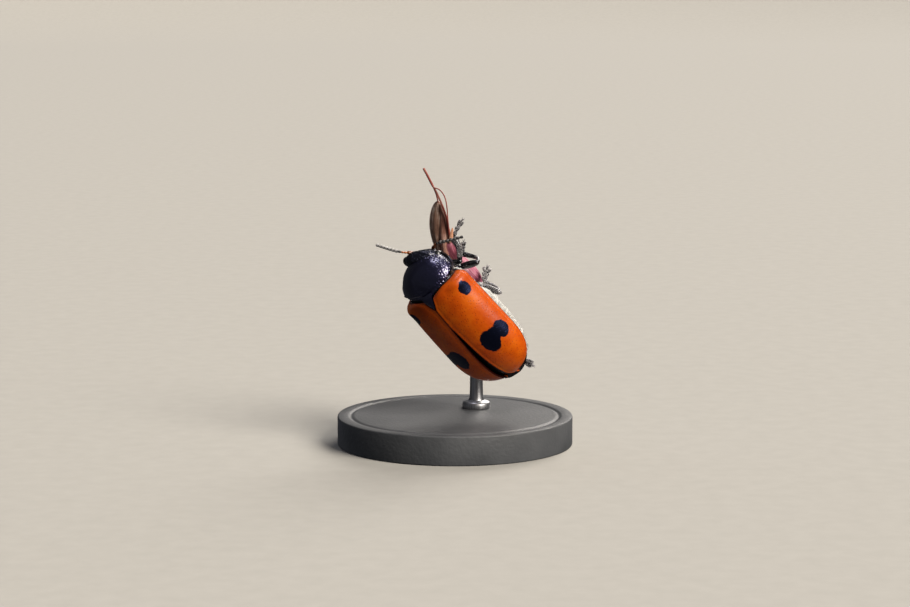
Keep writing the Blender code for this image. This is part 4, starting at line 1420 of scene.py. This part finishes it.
# Share of the down kept on the femur, and on the tibia and foot
LEG_DOWN_SHARES = {"front": (0.012, 0.42), "middle": (0.008, 0.13), "hind": (0.45, 0.90)}


def leg_density(name):
    """Sparse on the femur, close on the tibia and the foot."""
    femur, tibia, tarsus = [np.array(part) for part in LEGS[name]]
    thigh, rest = LEG_DOWN_SHARES[name.split("_")[0]]

    def density(place):
        near_thigh = np.linalg.norm(place - femur.mean(axis=0), axis=1)
        near_shin = np.linalg.norm(place - tibia.mean(axis=0), axis=1)
        near_foot = np.linalg.norm(place - tarsus.mean(axis=0), axis=1)
        return np.where(near_thigh < np.minimum(near_shin, near_foot), thigh, rest)
    return density


# ------------------------------------------------------------------ perch

# Lines of the stem and of the husks, in the display frame, mm
STEM = [(-1.73, 0.75, 15.20), (-1.48, 0.75, 14.73), (-1.20, 0.75, 14.18)]
STEM_BRANCH = [(-1.21, 0.76, 14.22), (-1.03, 0.92, 13.74), (-0.92, 1.12, 13.25)]
RACHIS = [(-1.21, 0.75, 14.20), (-0.98, 0.76, 13.79), (-0.74, 0.76, 13.24), (-0.49, 0.78, 12.52),
          (-0.36, 0.82, 11.75), (-0.28, 0.92, 11.00)]
LOOP = [(-1.16, 0.73, 14.13), (-0.82, 0.62, 14.00), (-0.56, 0.56, 13.62), (-0.45, 0.55, 13.10),
        (-0.40, 0.60, 12.50), (-0.34, 0.68, 11.82), (-0.28, 0.80, 11.16)]


def husk(line, wide, facing, peak=0.75, rows=44, columns=20):
    """One boat-shaped husk: a curved sheet along a line, keeled, and pointed at both ends.

    wide is its half-width, facing the way its keel looks, and a low peak puts its widest place
    near the root.
    """
    facing = Vector(facing).normalized()
    half_turn = math.radians(78.0)

    def law(along, across):
        spot, slope = point_along(line, along)
        side = slope.cross(facing).normalized()
        out = side.cross(slope)
        size = wide * math.sin(math.pi * along ** peak) ** 0.8 if 0.0 < along < 1.0 else 0.0
        lean = 2.0 * across - 1.0
        turn = lean * half_turn
        ribs = 1.0 + 0.022 * math.cos(lean * math.pi * 9.0)
        keel = 0.10 * hump(lean, 0.09)
        radius = size * ribs * (1.0 + keel)
        return spot + side * math.sin(turn) * radius + out * (math.cos(turn) - 0.3) * radius * 0.8
    middle = point_along(line, 0.5)[0]
    piece = sheet("husk", rows, columns, law, outward=lambda c: c - middle + facing * 0.2)
    return thickened(piece, 0.028)


BROWN = [(-0.92, 1.16, 13.36), (-1.03, 1.22, 12.60), (-1.02, 1.26, 11.70), (-0.86, 1.30, 10.72),
         (-0.74, 1.34, 10.30)]
BROWN_IN = [(-0.90, 1.18, 13.30), (-0.84, 1.26, 12.40), (-0.72, 1.30, 11.50), (-0.66, 1.34, 10.50)]
RUST = [(-0.80, 0.98, 13.30), (-0.64, 1.00, 12.50), (-0.56, 1.00, 11.60), (-0.50, 0.96, 10.70),
        (-0.42, 0.96, 9.90)]
RUST_IN = [(-0.70, 1.10, 12.90), (-0.50, 1.14, 12.10), (-0.34, 1.10, 11.30), (-0.24, 1.04, 10.60),
           (-0.18, 1.04, 10.00)]
PINK = [(-0.30, 0.92, 11.10), (-0.16, 1.08, 10.55), (0.30, 1.30, 9.86), (0.98, 1.55, 8.98)]
PINK_LOW = [(0.06, 1.20, 10.36), (0.66, 1.36, 9.66), (1.22, 1.58, 9.00), (1.50, 1.76, 8.62)]
PINK_TAIL = [(0.40, 1.40, 9.60), (0.86, 1.62, 9.00), (1.12, 1.86, 8.52), (1.20, 2.02, 8.14)]
FLORET_NEAR = [(-0.30, 0.78, 11.06), (-0.20, 0.72, 11.42), (-0.14, 0.72, 11.94)]
FLORET_FAR = [(-0.30, 0.80, 11.06), (-0.18, 0.82, 11.42), (-0.10, 0.84, 11.86)]

# Spikelets: piece, finish, the CAD nodes it stands for, and its husks: line, half-width, facing
# and shape
SPIKELETS = [
    ("perch_husk_brown_near", HUSK_BROWN, ["perch_glume_brown_front"], [
        (BROWN, 0.40, (-0.45, -1.0, 0.0), {}),
        (BROWN_IN, 0.30, (0.5, -1.0, 0.0), {"peak": 0.65}),
    ]),
    ("perch_husk_brown_far", HUSK_BROWN, ["perch_glume_brown_back"], [
        (BROWN, 0.40, (0.2, 1.0, 0.0), {}),
    ]),
    ("perch_husk_red", HUSK_RED, ["perch_glume_pink_front"], [
        (PINK, 0.36, (0.1, -1.0, 0.25), {"peak": 0.55}),
    ]),
    ("perch_husk_rust", HUSK_RUST, [], [
        (RUST, 0.27, (0.2, -1.0, 0.0), {"peak": 1.15}),
        (RUST_IN, 0.20, (0.6, -1.0, 0.0), {"peak": 1.2}),
    ]),
    ("perch_husk_pink", HUSK_PINK, ["perch_glume_pink_back"], [
        (PINK_LOW, 0.40, (0.2, -1.0, 0.3), {"peak": 0.8}),
        (PINK, 0.36, (0.0, 1.0, 0.0), {"peak": 0.6}),
        (PINK_TAIL, 0.34, (0.3, -1.0, 0.3), {}),
        (PINK_TAIL, 0.34, (0.0, 1.0, 0.0), {}),
    ]),
    ("perch_floret", FLORET, [], [
        (FLORET_NEAR, 0.12, (0.2, -1.0, 0.0), {"rows": 24, "columns": 12}),
        (FLORET_FAR, 0.11, (0.6, 1.0, 0.0), {"rows": 24, "columns": 12}),
    ]),
]


def perch():
    """A cut length of the spikelet's stem, its side loop, and the husked spikelets."""
    straight = [(0.0, 0.86, 0.86), (0.006, 1.0, 1.0)]
    straight += [(step / 12.0, 1.0 - 0.02 * step + 0.04 * (step % 2), 1.0) for step in range(1, 12)]
    straight += [(0.994, 0.86, 1.0), (1.0, 0.6, 0.6)]
    pattern = drawn_out("stem_pattern", straight, sides=10, levels=1)
    parts = [bent(pattern, "stem", line, wide, deep, steps=40) for line, wide, deep in (
        (STEM, 0.075, 0.070), (STEM_BRANCH, 0.045, 0.045), (RACHIS[:3], 0.060, 0.055),
        (RACHIS[2:], 0.105, 0.060), (LOOP, 0.036, 0.036))]
    stalk = made_whole(joined("perch_stem", parts))
    shown(stalk, DISPLAY, STEM_RED, "dry_grass", "perch_stalk")
    dropped(pattern)
    for name, finish, nodes, husks in SPIKELETS:
        piece = joined(name, [husk(line, wide, facing, **shape)
                              for line, wide, facing, shape in husks])
        shown(made_whole(piece), DISPLAY, finish, "dry_grass", *nodes)


# ------------------------------------------------------------------ stand

def stand():
    """A turned disc with a rounded rim and a fine ring groove, and a wire post in a collar."""
    low, high = [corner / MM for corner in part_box("stand_base")]
    centre, radius, top = (low + high) / 2.0, (high.x - low.x) / 2.0, high.z
    bpy.ops.object.select_all(action="DESELECT")
    bpy.ops.mesh.primitive_cylinder_add(vertices=128, radius=radius, depth=top, location=centre)
    disc = named("stand_disc")
    bpy.ops.object.transform_apply(location=True, rotation=True, scale=True)
    # The top has a ring groove inside its margin, and the underside a shallow hollow
    picked(disc, "faces", lambda face: face.normal.z > 0.9)
    bpy.ops.mesh.inset(thickness=0.62)
    bpy.ops.mesh.inset(thickness=0.14, depth=-0.10)
    bpy.ops.mesh.inset(thickness=0.14, depth=0.10)
    bpy.ops.object.mode_set(mode="OBJECT")
    picked(disc, "faces", lambda face: face.normal.z < -0.9)
    bpy.ops.mesh.inset(thickness=0.35)
    bpy.ops.mesh.inset(thickness=0.10, depth=-0.12)
    bpy.ops.object.mode_set(mode="OBJECT")
    applied(disc, "BEVEL", width=0.10, segments=3, limit_method="ANGLE",
            angle_limit=math.radians(35.0))
    shown(disc, DISPLAY, RESIN, "stand_grey", "stand_base")
    alone(disc)
    bpy.ops.object.shade_smooth_by_angle(angle=math.radians(30.0))

    low, high = [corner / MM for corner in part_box("stand_rod")]
    x, y, wide = (low.x + high.x) / 2.0, (low.y + high.y) / 2.0, (high.x - low.x) / 2.0
    # Height, and radius as a share of the rod's
    rings = [(top - 0.02, 1.9), (top + 0.02, 2.0), (top + 0.30, 2.0), (top + 0.40, 1.8),
             (top + 0.44, 0.98), (top + 0.60, 0.90), (high.z - 1.20, 0.90), (high.z - 0.90, 0.80),
             (high.z - 0.02, 0.60), (high.z, 0.45)]
    post = drawn_out("stand_post", [(height, wide * size, wide * size) for height, size in rings],
                     sides=24)
    post.data.transform(Matrix.Translation((x, y, 0.0)) @ Matrix.Rotation(-math.pi / 2.0, 4, "Y"))
    shown(made_whole(post), DISPLAY, STEEL, "stand_steel", "stand_rod")
    alone(post)
    bpy.ops.object.shade_smooth_by_angle(angle=math.radians(35.0))


# ------------------------------------------------------------------ studio

# Soft lights: name, direction they shine from, strength, spread in degrees, colour, and whether
# they light matt surfaces, gloss or both
LIGHTS = [
    ("key", (0.60, -0.55, 0.58), 4.4, 34.0, "#FFF6EA", "both"),
    ("back", (0.45, 0.90, 0.70), 2.1, 36.0, "#FFF8F0", "both"),
    ("fill", (-0.8, -0.9, 0.5), 0.06, 90.0, "#E6EEFF", "both"),
    ("back_fill", (-0.72, 1.0, 0.22), 0.85, 80.0, "#F4F4FF", "matt"),
    ("glint", (-0.10, 0.05, 1.0), 0.80, 20.0, "#F6F4FF", "gloss"),
]

# Paper sweep, m: a flat disc, then how far each ring of its wall rises, and how much it widens
SWEEP_RADIUS = 0.62
SWEEP_RINGS = [(0.004, 1.08), (0.012, 1.07), (0.024, 1.06), (0.036, 1.05), (0.048, 1.035),
               (0.06, 1.02)]


def studio():
    """A pale round sweep of paper, soft lights and the camera."""
    bpy.ops.object.select_all(action="DESELECT")
    bpy.ops.mesh.primitive_circle_add(vertices=96, radius=SWEEP_RADIUS, fill_type="NGON")
    sweep = named("paper_sweep")
    bpy.ops.object.mode_set(mode="EDIT")
    bpy.ops.mesh.select_mode(type="EDGE")
    bpy.ops.mesh.select_all(action="SELECT")
    bpy.ops.mesh.inset(thickness=0.02)           # a flat margin, so that the middle looks flat
    bpy.ops.mesh.select_all(action="SELECT")
    bpy.ops.mesh.region_to_loop()
    for rise, size in SWEEP_RINGS:
        bpy.ops.mesh.extrude_edges_move(TRANSFORM_OT_translate={"value": (0.0, 0.0, rise)})
        bpy.ops.transform.resize(value=(size, size, 1.0), center_override=(0.0, 0.0, 0.0))
    bpy.ops.object.mode_set(mode="OBJECT")
    bpy.ops.object.shade_smooth()
    sweep.data.materials.append(PAPER)
    sweep.visible_diffuse = False                # flagged off: its glow would grey the blacks
    sweep.visible_glossy = False
    sweep.visible_shadow = False

    scene = bpy.context.scene
    world = bpy.data.worlds.new("studio_air")
    world.use_nodes = True
    fed(world.node_tree, world.node_tree.nodes["Background"],
        {"Color": "#E9EDF5", "Strength": 0.04})
    scene.world = world
    scene.view_settings.view_transform = "Standard"

    for name, direction, strength, spread, colour, lit in LIGHTS:
        data = bpy.data.lights.new(name, "SUN")
        data.energy = strength
        data.angle = math.radians(spread)
        data.color = linear(colour)[:3]
        lamp = bpy.data.objects.new(name, data)
        lamp.rotation_euler = Vector(direction).to_track_quat("Z", "Y").to_euler()
        lamp.visible_diffuse = lit != "gloss"
        lamp.visible_glossy = lit != "matt"
        scene.collection.objects.link(lamp)

    data = bpy.data.cameras.new("camera")
    data.lens = 100.0
    data.sensor_width = 36.0
    data.clip_start = 0.005
    data.clip_end = 20.0
    camera = bpy.data.objects.new("camera", data)
    back = Vector((0.0, -math.cos(VIEW_RISE), math.sin(VIEW_RISE)))
    camera.location = CAMERA_AIM + back * CAMERA_AWAY
    camera.rotation_euler = back.to_track_quat("Z", "Y").to_euler()
    scene.collection.objects.link(camera)
    scene.camera = camera


# ------------------------------------------------------------------ build

wing_case(-1.0, "wing_case_right", "elytron_right")
wing_case(1.0, "wing_case_left", "elytron_left")
scutellum()
breast = trunk_piece("breast_plates", -0.22, BREAST_LENGTH, "thorax")
belly = trunk_piece("belly_rings", BREAST_LENGTH + 0.02, TRUNK_LENGTH, "abdomen")
pronotum()
throat = prosternum()
head_parts()
compound_eye(1.0, "compound_eye_left", "eye_left")
compound_eye(-1.0, "compound_eye_right", "eye_right")
feelers()

patterns = {name: drawn_out(name, stations, sides, levels)
            for name, (sides, levels, stations) in LEG_JOINTS.items()}
legs = {name: leg(name, patterns) for name in LEGS}
dropped(*patterns.values())

for layer in range(3):
    down_coat("down_belly_" + str(layer), belly, 19500, silvered, backwards,
              length=0.19, width=0.016, rise=0.30, seed=11 + layer)
for layer in range(2):
    down_coat("down_breast_" + str(layer), breast, 19500, silvered, backwards,
              length=0.17, width=0.015, rise=0.28, seed=14 + layer)
down_coat("down_throat", throat, 9000, silvered, backwards,
          length=0.13, width=0.013, rise=0.28, seed=16)
for number, (name, skin) in enumerate(legs.items()):
    down_coat("down_leg_" + name, skin, 9500, leg_density(name), leg_lie(name),
              length=0.080, width=0.009, rise=0.05, seed=20 + number, finish=LEG_DOWN)

perch()
stand()
studio()
